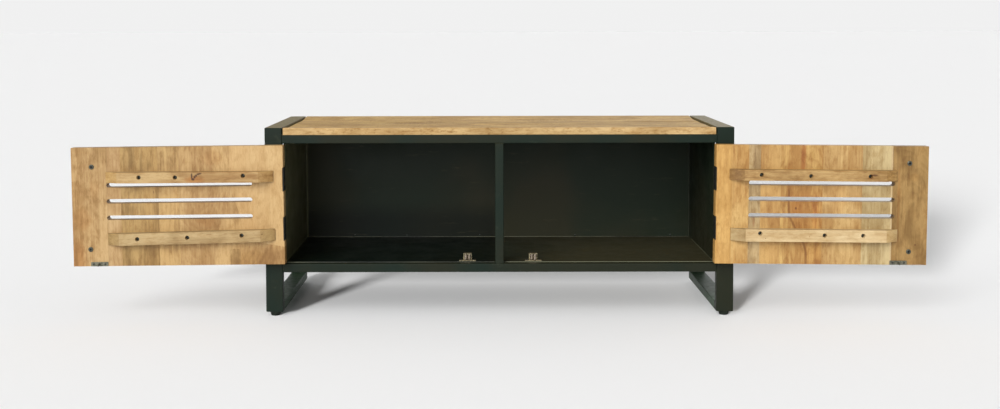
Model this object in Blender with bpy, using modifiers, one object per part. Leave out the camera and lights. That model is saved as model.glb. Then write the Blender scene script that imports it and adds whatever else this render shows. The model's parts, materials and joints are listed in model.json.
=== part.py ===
"""Low media cabinet: welded tube frame, sheet-metal carcass, wooden top and two wooden doors.

Units are metres, +Z is up, +X is to the right seen from the front, and the front faces -Y.
Lengths inside the cabinet are given in its own frame, where Y = 0 is the plane of the legs' front
faces. Each door is modelled closed and then swung open on its leaning hinge axis.
"""
import math

import bmesh
import bpy
from mathutils import Matrix, Vector

# Overall sizes
WIDTH = 1.100
DEPTH = 0.400
HEIGHT = 0.445
OPEN_DOOR_REACH = 0.0539       # how far the open doors' battens stand in front of the legs
GAP = 0.0003                   # between touching pieces
OVERCUT = 0.002                # how far a shallow cutter runs past a face
MERGE = 0.00001                # points closer than this are one point
SMOOTH_ANGLE = math.radians(30)

# Welded tube frame
LEG_WIDTH = 0.040
TUBE = 0.020
WALL = 0.0015
TUBE_ROUND = 0.0015
FOOT_HEIGHT = 0.010
BOTTOM_RAIL_Z = 0.104
TOP_RAIL_Z = 0.408
INNER = WIDTH / 2 - LEG_WIDTH  # the legs' inner faces

# Sheet-metal carcass
SHEET = 0.0012
FLOOR_TOP = 0.1255
FLOOR_HALF = 0.5057
SIDE_FACE = 0.5060
SIDE_FRONT = 0.0250
BACK_FACE = 0.3782
CARCASS_TOP = 0.4277
BACK_HOLE_RADIUS = 0.0025
BACK_HOLE_RISE = 0.0035         # centre above the floor
BACK_HOLES_X = (-0.379, -0.241, -0.049, 0.2045, 0.456)

# Wooden top and its screws
TOP_HALF = 0.507
TOP_Z = 0.4283
TOP_ROUND = 0.0015
TOP_SCREW_X = 0.35
TOP_SCREW_DEPTH = 0.012
ACCESS_HOLE_RADIUS = 0.0052

# Glides under the side frames
FOOT_TOP_RADIUS = 0.0125
FOOT_FLOOR_RADIUS = 0.0105
FOOT_BAND = 0.0020
FOOT_EDGE = 0.0008
FOOT_INSET = 0.015
STEM_RADIUS = 0.0030
STEM_HOLE_RADIUS = 0.0033
STEM_TOP_Z = 0.0155
STEM_CHAMFER = 0.0010

# Doors, closed: s runs from the hinge edge to the free edge, h from the bottom edge
DOOR_WIDTH = 0.493
DOOR_THICK = 0.024
DOOR_Z = 0.1295
DOOR_HEIGHT = 0.277
HINGE_EDGE = 0.5075
SLOT_LENGTH = 0.340
SLOT_HEIGHT = 0.0104
SLOT_START = {"left": 0.0725, "right": 0.0765}
SLOTS_H = (0.1890, 0.1516, 0.1130)

# Battens: tip at the hinge end, tip at the free end, centre height at each end, width
BATTEN_THICK = 0.022
BATTEN_TIP = 0.003
BATTEN_BEVEL = 0.031
BATTENS = {
    "left_upper": (0.0232, 0.4122, 0.2063, 0.2083, 0.0250),
    "left_lower": (0.0211, 0.4103, 0.0702, 0.0640, 0.0272),
    "right_upper": (0.0310, 0.4204, 0.2091, 0.2085, 0.0250),
    "right_lower": (0.0354, 0.4228, 0.0695, 0.0690, 0.0280),
}
BATTEN_SCREWS = {                # s along the door, and height above the batten's centre line
    "left_upper": ((0.330, 0.0010), (0.246, 0.0005), (0.089, 0.0035)),
    "left_lower": ((0.337, 0.0005), (0.221, 0.0010), (0.095, 0.0025)),
    "right_upper": ((0.101, 0.0010), (0.215, -0.0010), (0.352, -0.0005)),
    "right_lower": ((0.100, 0.0050), (0.249, 0.0015), (0.338, 0.0015)),
}
COUNTERBORE_RADIUS = 0.0050
COUNTERBORE_DEPTH = 0.008

# Wood screws
SHANK_RADIUS = 0.0020
PILOT_RADIUS = 0.0023
SCREW_HEAD_RADIUS = 0.0042
SCREW_HEAD_HEIGHT = 0.0025

# Bar handles on the outer faces, held by two bolts each: (s, h) of the bolts
HANDLE_BOLTS = {
    "left": ((0.4456, 0.2324), (0.4522, 0.0396)),
    "right": ((0.4487, 0.2372), (0.4508, 0.0310)),
}
HANDLE_STAND_OFF = 0.026
HANDLE_OVERHANG = 0.012
HANDLE_BAR = (0.012, 0.006)      # width and thickness
HANDLE_ROUND = 0.0012
HANDLE_TAP_DEPTH = 0.012
BOLT_ENTRY = 0.010               # how far a bolt runs into a post
POST_RADIUS = 0.0055
BOLT_HEAD_RADIUS = 0.0058
BOLT_HEAD_HEIGHT = 0.0020

# Butt hinges. The axis stands in front of the legs and leans outward at the top
AXIS_X = 0.5042
AXIS_Y = -0.0040
AXIS_LEAN = math.radians(0.32)
OPEN_ANGLE = math.radians(180.56)
HINGE_H = {"upper": 0.1976, "lower": 0.0824}
HINGE_HEIGHT = 0.0546
KNUCKLES = 5
KNUCKLE_RADIUS = 0.0033
KNUCKLE_CLEARANCE = 0.0004
BORE_RADIUS = 0.0016
PIN_RADIUS = 0.0013
PIN_HEAD_RADIUS = 0.0024
PIN_HEAD_HEIGHT = 0.0016
PIN_HEAD_CHAMFER = 0.0005
PIN_END = 0.0005
LEAF = 0.0012
LEAF_WEB = 0.0015                # half the thickness of a leaf where it meets the knuckles
DOOR_LEAF_FACE = 0.0033          # outer face of the door's leaf, from the axis
FRAME_LEAF_FACE = 0.0048         # outer face of the frame's leaf, from the axis
DOOR_LEAF_END = 0.0270
FRAME_LEAF_END = 0.0230
MORTISE_FLOOR = 0.0012
MORTISE_PLAY = 0.0005
LEAF_SCREWS_Z = (-0.018, 0.018)
LEAF_SCREW_Y = 0.0155
LEAF_SCREW_HOLE = 0.0029

# Double roller catches on the floor, and the strikes on the doors
CATCH_X = {"left": -0.0755, "right": 0.0805}
CATCH_FRONT = 0.0266
CATCH_DEPTH = 0.0180
CATCH_BASE_HALF = 0.0195
CATCH_BODY_HALF = 0.0098
CATCH_HEIGHT = 0.0172
CATCH_SHEET = 0.0012
HOOD_INSET = 0.0001              # keeps the hood off the base plate's back edge
ROLLER_RADIUS = 0.0035
ROLLER_CHAMFER = 0.0005
ROLLER_PITCH = 0.0083
ROLLER_Y = 0.0318
ROLLER_TRAVEL = 0.0020
AXLE_RADIUS = 0.0010
SLOT_CLEARANCE = 0.0003
STRIKE_LENGTH = 0.040
STRIKE_HEIGHT = 0.010
STRIKE_THICK = 0.0015
STRIKE_SCREW_STEP = 0.0135
SPEAR_HEIGHT = 0.006
SPEAR_NECK = 0.0005              # half width
SPEAR_HEAD = 0.0022              # half width
SPEAR_LENGTH = 0.0150
SPEAR_TIP = 0.0006               # half width
SPEAR_BARB = (0.0012, 0.0008)    # neck ends before, and head is widest behind, the rollers
SMALL_HOLE_RADIUS = 0.0016

SIDES = {"left": -1, "right": 1}
DOOR_MIDDLE_Z = DOOR_Z + DOOR_HEIGHT / 2
REACH = 0.1                      # how far a cutter may run past what it cuts
AXIS_INDEX = {"X": 0, "Y": 1, "Z": 2}
TURN_TO = {
    "X": Matrix.Rotation(math.pi / 2, 4, "Y"),
    "Y": Matrix.Rotation(-math.pi / 2, 4, "X"),
    "Z": Matrix.Identity(4),
}


# ---------------------------------------------------------------- scene, materials, small tools

def clear_scene():
    for obj in list(bpy.data.objects):
        bpy.data.objects.remove(obj, do_unlink=True)


def new_collection(name):
    made = bpy.data.collections.new(name)
    bpy.context.scene.collection.children.link(made)
    return made


def new_material(name, colour, roughness, metallic):
    made = bpy.data.materials.new(name)
    made.use_nodes = True
    shader = made.node_tree.nodes["Principled BSDF"]
    shader.inputs["Base Color"].default_value = (*colour, 1.0)
    shader.inputs["Roughness"].default_value = roughness
    shader.inputs["Metallic"].default_value = metallic
    return made


def new_empty(name, matrix, parent=None):
    made = bpy.data.objects.new(name, None)
    parts.objects.link(made)
    made.parent = parent
    made.matrix_local = matrix
    return made


def new_object(name, bm, matrix=None):
    """A mesh object from a bmesh, with its faces pointing out."""
    bmesh.ops.recalc_face_normals(bm, faces=bm.faces)
    mesh = bpy.data.meshes.new(name)
    bm.to_mesh(mesh)
    bm.free()
    made = bpy.data.objects.new(name, mesh)
    made.matrix_basis = matrix or Matrix.Identity(4)
    return made


def as_part(obj, material, home):
    """Keep an object as a piece. home is the empty it hangs from and that empty's closed place."""
    parent, closed_place = home
    parts.objects.link(obj)
    obj.parent = parent
    obj.matrix_parent_inverse = closed_place.inverted()
    obj.data.materials.append(material)
    obj.data.shade_smooth()
    obj.data.set_sharp_from_angle(angle=SMOOTH_ANGLE)
    return obj


def cut(obj, tool, operation="DIFFERENCE"):
    """A Boolean with a hidden tool object that hangs from the same empty as the piece."""
    if tool.name not in cutters.objects:
        cutters.objects.link(tool)
        tool.parent = obj.parent
        tool.matrix_parent_inverse = obj.matrix_parent_inverse
        tool.hide_render = True
        tool.display_type = "WIRE"
    step = obj.modifiers.new(tool.name, "BOOLEAN")
    step.operation = operation
    step.object = tool
    step.solver = "EXACT"
    return step


# ---------------------------------------------------------------- basic shapes

def box_bmesh(low, high):
    low, high = Vector(low), Vector(high)
    bm = bmesh.new()
    bmesh.ops.create_cube(bm, size=1.0)
    bmesh.ops.scale(bm, vec=high - low, verts=bm.verts)
    bmesh.ops.translate(bm, vec=(low + high) / 2, verts=bm.verts)
    return bm


def box(name, low, high, matrix=None):
    return new_object(name, box_bmesh(low, high), matrix)


def rounded_box(name, low, high, radius, along=None):
    """A box with rounded edges: all of them, or only those that run along one axis."""
    bm = box_bmesh(low, high)
    edges = list(bm.edges)
    if along is not None:
        run = AXIS_INDEX[along]
        edges = [e for e in edges if abs((e.verts[0].co - e.verts[1].co)[run]) > radius]
    bmesh.ops.bevel(bm, geom=edges, offset=radius, segments=2, profile=0.5, affect="EDGES")
    return new_object(name, bm)


def rods(name, radius, ends, axis, sides=12):
    """Cylinders along one axis, as one object. ends lists the centres of their two end faces."""
    bm = bmesh.new()
    for low, high in ends:
        low, high = Vector(low), Vector(high)
        place = Matrix.Translation((low + high) / 2) @ TURN_TO[axis]
        bmesh.ops.create_cone(bm, cap_ends=True, segments=sides, radius1=radius, radius2=radius,
                              depth=(high - low).length, matrix=place)
    return new_object(name, bm)


def turned(name, profile, place, steps=12):
    """A turned body about local Z. profile lists (radius, z) from one end of the axis to the other."""
    bm = bmesh.new()
    verts = [bm.verts.new((radius, 0.0, z)) for radius, z in profile]
    edges = [bm.edges.new(pair) for pair in zip(verts, verts[1:])]
    bmesh.ops.spin(bm, geom=verts + edges, cent=(0, 0, 0), axis=(0, 0, 1), angle=math.tau, steps=steps)
    bmesh.ops.remove_doubles(bm, verts=bm.verts, dist=MERGE)
    return new_object(name, bm, place)


def arc(centre, radius, start, end, steps):
    """Points on an arc in a plane, angles in degrees."""
    turns = (math.radians(start + (end - start) * i / steps) for i in range(steps + 1))
    return [(centre[0] + radius * math.cos(a), centre[1] + radius * math.sin(a)) for a in turns]


def extruded(name, outlines, thickness, matrix):
    """A flat outline with holes, thickened both ways about its plane, then placed."""
    curve = bpy.data.curves.new(name, "CURVE")
    curve.dimensions = "2D"
    curve.fill_mode = "BOTH"
    curve.extrude = thickness / 2
    for points in outlines:
        spline = curve.splines.new("POLY")
        spline.points.add(len(points) - 1)
        for slot, (x, y) in zip(spline.points, points):
            slot.co = (x, y, 0.0, 1.0)
        spline.use_cyclic_u = True
    guide = bpy.data.objects.new(name + "_outline", curve)
    bpy.context.scene.collection.objects.link(guide)
    mesh = bpy.data.meshes.new_from_object(guide.evaluated_get(bpy.context.evaluated_depsgraph_get()))
    bpy.data.objects.remove(guide, do_unlink=True)
    bm = bmesh.new()
    bm.from_mesh(mesh)
    bpy.data.meshes.remove(mesh)
    bmesh.ops.remove_doubles(bm, verts=bm.verts, dist=MERGE)
    return new_object(name, bm, matrix)


# ---------------------------------------------------------------- welded tube frame

def hollow_tube(name, low, high, axis, home, mitres=()):
    """A rounded rectangular tube along one axis, open at its ends or cut on mitre planes."""
    tube = as_part(rounded_box(name, low, high, TUBE_ROUND, along=axis), frame_paint, home)
    run = AXIS_INDEX[axis]
    inner_low, inner_high = Vector(low), Vector(high)
    for i in range(3):
        grow = REACH if i == run else -WALL
        inner_low[i] -= grow
        inner_high[i] += grow
    cut(tube, box(name + "_bore", inner_low, inner_high))
    for tool in mitres:
        cut(tube, tool)
    return tube


def mitre_tool(name, corner_y, corner_z, away_y, away_z):
    """A block whose face lies on the 45 degree plane through a side frame's outer corner."""
    away = Vector((0.0, away_y, away_z)).normalized()
    centre = Vector((0.0, corner_y, corner_z)) + away * (REACH / 2 - GAP / 2)
    turn = Matrix.Rotation(math.pi / 4, 4, "X")
    half = Vector((WIDTH, REACH / 2, REACH / 2))
    return box(name, -half, half, Matrix.Translation(centre) @ turn)


def side_frames(home):
    """Two closed loops of 40 x 20 tube, mitred at their four corners."""
    corners = {}
    for y_name, corner_y, inward_y in (("front", 0.0, 1), ("rear", DEPTH, -1)):
        for z_name, corner_z, inward_z in (("bottom", FOOT_HEIGHT, 1), ("top", HEIGHT, -1)):
            key = (y_name, z_name)
            name = "mitre_" + y_name + "_" + z_name
            leg_side = mitre_tool(name + "_leg", corner_y, corner_z, inward_y, -inward_z)
            bar_side = mitre_tool(name + "_bar", corner_y, corner_z, -inward_y, inward_z)
            corners[key] = (leg_side, bar_side)
    for side, sign in SIDES.items():
        x_low, x_high = sorted((sign * INNER, sign * WIDTH / 2))
        for y_name, y_low in (("front", 0.0), ("rear", DEPTH - TUBE)):
            hollow_tube(side + "_" + y_name + "_leg", (x_low, y_low, FOOT_HEIGHT),
                        (x_high, y_low + TUBE, HEIGHT), "Z", home,
                        [corners[y_name, z_name][0] for z_name in ("bottom", "top")])
        for z_name, bar, z_low in (("bottom", "sled_bar", FOOT_HEIGHT), ("top", "top_bar", HEIGHT - TUBE)):
            tube = hollow_tube(side + "_" + bar, (x_low, 0.0, z_low), (x_high, DEPTH, z_low + TUBE), "Y",
                               home, [corners[y_name, z_name][1] for y_name in ("front", "rear")])
            if bar == "sled_bar":
                cut(tube, foot_stem_holes(side, sign))


def foot_places(sign):
    x = sign * (WIDTH - LEG_WIDTH) / 2
    return {"front": (x, FOOT_INSET, 0.0), "rear": (x, DEPTH - FOOT_INSET, 0.0)}


def foot_stem_holes(side, sign):
    ends = [((x, y, 0.0), (x, y, FOOT_HEIGHT + 2 * WALL)) for x, y, _ in foot_places(sign).values()]
    return rods(side + "_foot_holes", STEM_HOLE_RADIUS, ends, "Z")


def feet(home):
    """Push-in plastic glides: a tapered foot with a stem that enters the tube above it."""
    top = FOOT_HEIGHT - GAP
    profile = [(0.0, STEM_TOP_Z), (STEM_RADIUS - STEM_CHAMFER, STEM_TOP_Z),
               (STEM_RADIUS, STEM_TOP_Z - STEM_CHAMFER), (STEM_RADIUS, top),
               (FOOT_TOP_RADIUS, top), (FOOT_TOP_RADIUS, top - FOOT_BAND),
               (FOOT_FLOOR_RADIUS, FOOT_EDGE), (FOOT_FLOOR_RADIUS - FOOT_EDGE, 0.0), (0.0, 0.0)]
    for side, sign in SIDES.items():
        for end, place in foot_places(sign).items():
            foot = turned(side + "_" + end + "_foot", profile, Matrix.Translation(place), steps=20)
            as_part(foot, plastic, home)


def cross_rails(home):
    """Four long rails, two short side rails at the bottom, and the post between the doors."""
    half = INNER - GAP
    for y_name, y_low in (("front", 0.0), ("rear", DEPTH - TUBE)):
        for z_name, z_low in (("top", TOP_RAIL_Z), ("bottom", BOTTOM_RAIL_Z)):
            rail = hollow_tube(y_name + "_" + z_name + "_rail", (-half, y_low, z_low),
                               (half, y_low + TUBE, z_low + TUBE), "X", home)
            if z_name == "top":
                drill_rail_for_top(rail, y_name, y_low + TUBE / 2)
    for side, sign in SIDES.items():
        x_low, x_high = sorted((sign * (INNER + GAP), sign * (INNER + TUBE)))
        hollow_tube(side + "_bottom_side_rail", (x_low, TUBE + GAP, BOTTOM_RAIL_Z),
                    (x_high, DEPTH - TUBE - GAP, BOTTOM_RAIL_Z + TUBE), "Y", home)
    hollow_tube("centre_post", (-TUBE / 2, 0.0, BOTTOM_RAIL_Z + TUBE + GAP),
                (TUBE / 2, TUBE, TOP_RAIL_Z - GAP), "Z", home)


def drill_rail_for_top(rail, y_name, y):
    """Screw holes in the rail's upper wall, and access holes in its lower wall."""
    roof = TOP_RAIL_Z + TUBE
    holes = [((x, y, roof - 2 * WALL), (x, y, roof + WALL)) for x in (-TOP_SCREW_X, TOP_SCREW_X)]
    access = [((x, y, TOP_RAIL_Z - WALL), (x, y, TOP_RAIL_Z + 2 * WALL))
              for x in (-TOP_SCREW_X, TOP_SCREW_X)]
    cut(rail, rods(y_name + "_rail_screw_holes", PILOT_RADIUS, holes, "Z"))
    cut(rail, rods(y_name + "_rail_access_holes", ACCESS_HOLE_RADIUS, access, "Z"))


# ---------------------------------------------------------------- carcass and wooden top

def pan(name, low, high, open_axis, open_end, home):
    """A folded sheet-metal tray: a box with one face missing, thickened inwards."""
    bm = box_bmesh(low, high)
    index = AXIS_INDEX[open_axis]
    missing = [f for f in bm.faces if f.normal[index] * open_end > 0.5]
    bmesh.ops.delete(bm, geom=missing, context="FACES")
    tray = as_part(new_object(name, bm), sheet_paint, home)
    fold = tray.modifiers.new("sheet", "SOLIDIFY")
    fold.thickness = SHEET
    fold.offset = -1.0
    fold.use_even_offset = True
    return tray


def carcass(home):
    as_part(box("floor_panel", (-FLOOR_HALF, TUBE + GAP, FLOOR_TOP - SHEET),
                (FLOOR_HALF, BACK_FACE - GAP, FLOOR_TOP)), sheet_paint, home)
    for side, sign in SIDES.items():
        x_low, x_high = sorted((sign * SIDE_FACE, sign * (INNER - GAP)))
        pan(side + "_side_panel", (x_low, SIDE_FRONT, BOTTOM_RAIL_Z),
            (x_high, BACK_FACE - GAP, CARCASS_TOP), "X", sign, home)
    back = as_part(box("back_panel", (-INNER + GAP, BACK_FACE, BOTTOM_RAIL_Z),
                       (INNER - GAP, DEPTH - TUBE - GAP, CARCASS_TOP)), sheet_paint, home)
    z = FLOOR_TOP + BACK_HOLE_RISE
    ends = [((x, BACK_FACE - SHEET, z), (x, DEPTH - TUBE, z)) for x in BACK_HOLES_X]
    cut(back, rods("back_panel_holes", BACK_HOLE_RADIUS, ends, "Y"))


def wooden_top(home):
    top = rounded_box("wood_top", (-TOP_HALF, GAP, TOP_Z), (TOP_HALF, DEPTH - GAP, HEIGHT), TOP_ROUND)
    as_part(top, top_wood, home)
    tip = TOP_Z + TOP_SCREW_DEPTH
    seat = TOP_RAIL_Z + TUBE - WALL - GAP
    profile = screw_profile(SCREW_HEAD_RADIUS, SCREW_HEAD_HEIGHT, SHANK_RADIUS, tip - seat)
    ends = []
    for side, sign in SIDES.items():
        for y_name, y in (("front", TUBE / 2), ("rear", DEPTH - TUBE / 2)):
            x = sign * TOP_SCREW_X
            ends.append(((x, y, TOP_Z - WALL), (x, y, tip + GAP)))
            screw = turned(side + "_" + y_name + "_top_screw", profile, Matrix.Translation((x, y, seat)))
            as_part(screw, hardware, home)
    cut(top, rods("top_screw_pilots", PILOT_RADIUS, ends, "Z"))


def screw_profile(head_radius, head_height, shank_radius, length):
    """A pan-head screw about Z: the head's underside at z = 0, the shank pointing up."""
    return [(0.0, length), (shank_radius * 0.5, length), (shank_radius, length - shank_radius),
            (shank_radius, 0.0), (head_radius, 0.0), (head_radius, -head_height * 0.5),
            (head_radius * 0.7, -head_height), (0.0, -head_height)]


# ---------------------------------------------------------------- hinges

def axis_point(sign, z):
    """The point at height z on a door's leaning hinge axis."""
    return Vector((sign * (AXIS_X + math.tan(AXIS_LEAN) * (z - DOOR_MIDDLE_Z)), AXIS_Y, z))


def hinge_place(sign, hinge_h):
    lean = Matrix.Rotation(sign * AXIS_LEAN, 4, "Y")
    return Matrix.Translation(axis_point(sign, DOOR_Z + hinge_h)) @ lean


def mirrored(points, sign):
    return [(sign * x, y) for x, y in points]


def knuckle_notches(name, sign, indices, x_high):
    """Boxes that free the other leaf's knuckles."""
    length = HINGE_HEIGHT / KNUCKLES
    clear = KNUCKLE_RADIUS + KNUCKLE_CLEARANCE
    bm = bmesh.new()
    for i in indices:
        low_z = -HINGE_HEIGHT / 2 + i * length - GAP / 2
        high_z = low_z + length + GAP
        if i == 0:
            low_z -= length
        if i == KNUCKLES - 1:
            high_z += length
        x_low, x_top = sorted((-sign * clear, sign * x_high))
        piece = box_bmesh((x_low, -clear, low_z), (x_top, clear, high_z))
        mesh = bpy.data.meshes.new("notch")
        piece.to_mesh(mesh)
        piece.free()
        bm.from_mesh(mesh)
        bpy.data.meshes.remove(mesh)
    return new_object(name, bm)


def bore_hole():
    return arc((0.0, 0.0), BORE_RADIUS, 0, 330, 11)


def frame_leaf(side, sign, end, home):
    """The leaf on the leg: a plate joined to its knuckles by a short web."""
    turn = math.degrees(math.asin(LEAF_WEB / KNUCKLE_RADIUS))
    outline = [(FRAME_LEAF_FACE, FRAME_LEAF_END), (FRAME_LEAF_FACE - LEAF, FRAME_LEAF_END),
               (FRAME_LEAF_FACE - LEAF, LEAF_WEB)]
    outline += arc((0.0, 0.0), KNUCKLE_RADIUS, turn, 360 - turn, 10)
    outline += [(FRAME_LEAF_FACE, -LEAF_WEB)]
    place = hinge_place(sign, HINGE_H[end])
    leaf = extruded(side + "_" + end + "_hinge_frame_leaf",
                    [mirrored(outline, sign), mirrored(bore_hole(), sign)], HINGE_HEIGHT, place)
    as_part(leaf, hinge_paint, home)
    notches = knuckle_notches(leaf.name + "_notches", sign, (1, 3), FRAME_LEAF_FACE - LEAF * 0.7)
    notches.matrix_basis = place
    cut(leaf, notches)


def door_leaf(side, sign, end, home):
    """The leaf let into the door's edge: its plate runs off the knuckles' side."""
    inner = DOOR_LEAF_FACE - LEAF
    meet = math.sqrt(KNUCKLE_RADIUS ** 2 - inner ** 2)
    turn = math.degrees(math.atan2(meet, inner))
    outline = [(DOOR_LEAF_FACE, DOOR_LEAF_END), (inner, DOOR_LEAF_END)]
    outline += arc((0.0, 0.0), KNUCKLE_RADIUS, turn, 360, 11)
    place = hinge_place(sign, HINGE_H[end])
    leaf = extruded(side + "_" + end + "_hinge_door_leaf",
                    [mirrored(outline, sign), mirrored(bore_hole(), sign)], HINGE_HEIGHT, place)
    as_part(leaf, hinge_paint, home)
    notches = knuckle_notches(leaf.name + "_notches", sign, (0, 2, 4), DOOR_LEAF_FACE + LEAF)
    notches.matrix_basis = place
    cut(leaf, notches)
    x_low, x_high = sorted((0.0, sign * 2 * DOOR_LEAF_FACE))
    ends = [((x_low, LEAF_SCREW_Y, z), (x_high, LEAF_SCREW_Y, z)) for z in LEAF_SCREWS_Z]
    holes = rods(leaf.name + "_screw_holes", LEAF_SCREW_HOLE, ends, "X")
    holes.matrix_basis = place
    cut(leaf, holes)


def hinge_pins(home):
    half = HINGE_HEIGHT / 2
    crown = half + PIN_HEAD_HEIGHT
    profile = [(0.0, crown), (PIN_HEAD_RADIUS - PIN_HEAD_CHAMFER, crown - PIN_HEAD_CHAMFER),
               (PIN_HEAD_RADIUS, half + GAP), (PIN_RADIUS, half + GAP),
               (PIN_RADIUS, -half - PIN_END), (0.0, -half - PIN_END)]
    for side, sign in SIDES.items():
        for end, h in HINGE_H.items():
            pin = turned(side + "_" + end + "_hinge_pin", profile, hinge_place(sign, h), steps=10)
            as_part(pin, hardware, home)


# ---------------------------------------------------------------- doors

def door_x(sign, s):
    return sign * (HINGE_EDGE - s)


def slot_outline(sign, start, h):
    """One through slot with round ends, in the door's X-Z plane."""
    radius = SLOT_HEIGHT / 2
    left, right = sorted((door_x(sign, start + radius), door_x(sign, start + SLOT_LENGTH - radius)))
    z = DOOR_Z + h
    return arc((right, z), radius, -90, 90, 6) + arc((left, z), radius, 90, 270, 6)


def facing_door(y):
    """Places an outline drawn in X-Z so that its plane stands at depth y."""
    return Matrix.Translation((0.0, y, 0.0)) @ Matrix.Rotation(math.pi / 2, 4, "X")


def door_panel(side, sign, home):
    x_low, x_high = sorted((door_x(sign, 0.0), door_x(sign, DOOR_WIDTH)))
    top = DOOR_Z + DOOR_HEIGHT
    outlines = [[(x_low, DOOR_Z), (x_high, DOOR_Z), (x_high, top), (x_low, top)]]
    outlines += [slot_outline(sign, SLOT_START[side], h) for h in SLOTS_H]
    panel = extruded(side + "_door_panel", outlines, DOOR_THICK, facing_door(DOOR_THICK / 2))
    as_part(panel, door_wood, home)
    for end, h in HINGE_H.items():
        cut(panel, mortise(side, sign, end, h))
    ends = [((x, -WALL, z), (x, DOOR_THICK + WALL, z)) for x, z in bolt_places(side, sign)]
    cut(panel, rods(side + "_bolt_holes", PILOT_RADIUS, ends, "Y"))


def mortise(side, sign, end, h):
    """The step in the door's edge that takes a hinge leaf, across its whole thickness."""
    half = HINGE_HEIGHT / 2 + MORTISE_PLAY
    z = DOOR_Z + h
    floor = AXIS_X + MORTISE_FLOOR
    x_low, x_high = sorted((sign * floor, sign * (HINGE_EDGE + OVERCUT)))
    return box(side + "_" + end + "_mortise", (x_low, -OVERCUT, z - half),
               (x_high, DOOR_THICK + OVERCUT, z + half))


def batten_place(side, sign, level):
    """Middle of a batten on the door's inner face, turned along it."""
    start, end, h_start, h_end, _ = BATTENS[side + "_" + level]
    middle = (start + end) / 2
    slope = math.atan2(h_end - h_start, end - start)
    centre = (door_x(sign, middle), DOOR_THICK + GAP, DOOR_Z + (h_start + h_end) / 2)
    return Matrix.Translation(centre) @ Matrix.Rotation(sign * slope, 4, "Y")


def batten_screw_places(side, sign, level):
    start, end, h_start, h_end, _ = BATTENS[side + "_" + level]
    places = []
    for s, rise in BATTEN_SCREWS[side + "_" + level]:
        centre_h = h_start + (h_end - h_start) * (s - start) / (end - start)
        places.append((door_x(sign, s), DOOR_Z + centre_h + rise))
    return places


def batten(side, sign, level, home):
    """A batten with long bevelled ends, and counterbored holes for its screws."""
    start, end, _, _, width = BATTENS[side + "_" + level]
    half = (end - start) / 2
    outline = [(-half, 0.0), (half, 0.0), (half, BATTEN_TIP), (half - BATTEN_BEVEL, BATTEN_THICK),
               (-half + BATTEN_BEVEL, BATTEN_THICK), (-half, BATTEN_TIP)]
    piece = extruded(side + "_" + level + "_batten", [outline], width, batten_place(side, sign, level))
    as_part(piece, batten_wood, home)
    back, face = DOOR_THICK + GAP, DOOR_THICK + GAP + BATTEN_THICK
    places = batten_screw_places(side, sign, level)
    through = [((x, back - WALL, z), (x, face + WALL, z)) for x, z in places]
    mouths = [((x, face - COUNTERBORE_DEPTH, z), (x, face + WALL, z)) for x, z in places]
    cut(piece, rods(piece.name + "_holes", PILOT_RADIUS, through, "Y", sides=10))
    cut(piece, rods(piece.name + "_counterbores", COUNTERBORE_RADIUS, mouths, "Y", sides=16))


def bolt_places(side, sign):
    return [(door_x(sign, s), DOOR_Z + h) for s, h in HANDLE_BOLTS[side]]


def handle(side, sign, home):
    """A flat bar on two round posts, on the door's outer face."""
    (x_top, z_top), (x_low, z_low) = bolt_places(side, sign)
    middle = Vector(((x_top + x_low) / 2, 0.0, (z_top + z_low) / 2))
    tilt = math.atan2(x_top - x_low, z_top - z_low)
    length = math.hypot(x_top - x_low, z_top - z_low) + 2 * HANDLE_OVERHANG
    width, thick = HANDLE_BAR
    bar = rounded_box(side + "_handle", (-width / 2, -HANDLE_STAND_OFF - thick, -length / 2),
                      (width / 2, -HANDLE_STAND_OFF, length / 2), HANDLE_ROUND)
    bar.matrix_basis = Matrix.Translation(middle) @ Matrix.Rotation(tilt, 4, "Y")
    as_part(bar, hinge_paint, home)
    places = ((x_top, z_top), (x_low, z_low))
    posts = [((x, -HANDLE_STAND_OFF - thick / 2, z), (x, -GAP, z)) for x, z in places]
    taps = [((x, -HANDLE_TAP_DEPTH, z), (x, WALL, z)) for x, z in places]
    cut(bar, rods(side + "_handle_posts", POST_RADIUS, posts, "Y", sides=16), "UNION")
    cut(bar, rods(side + "_handle_taps", PILOT_RADIUS, taps, "Y"))
    profile = screw_profile(BOLT_HEAD_RADIUS, BOLT_HEAD_HEIGHT, SHANK_RADIUS, DOOR_THICK + BOLT_ENTRY)
    turn = Matrix.Rotation(math.pi / 2, 4, "X")
    for level, (x, z) in zip(("upper", "lower"), places):
        seat = Matrix.Translation((x, DOOR_THICK + GAP, z)) @ turn
        bolt = turned(side + "_" + level + "_handle_bolt", profile, seat, steps=16)
        as_part(bolt, hardware, home)


# ---------------------------------------------------------------- catches and strikes

def strike_screw_places(side):
    z = DOOR_Z + STRIKE_HEIGHT / 2
    return [(CATCH_X[side] + step, z) for step in (-STRIKE_SCREW_STEP, STRIKE_SCREW_STEP)]


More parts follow.
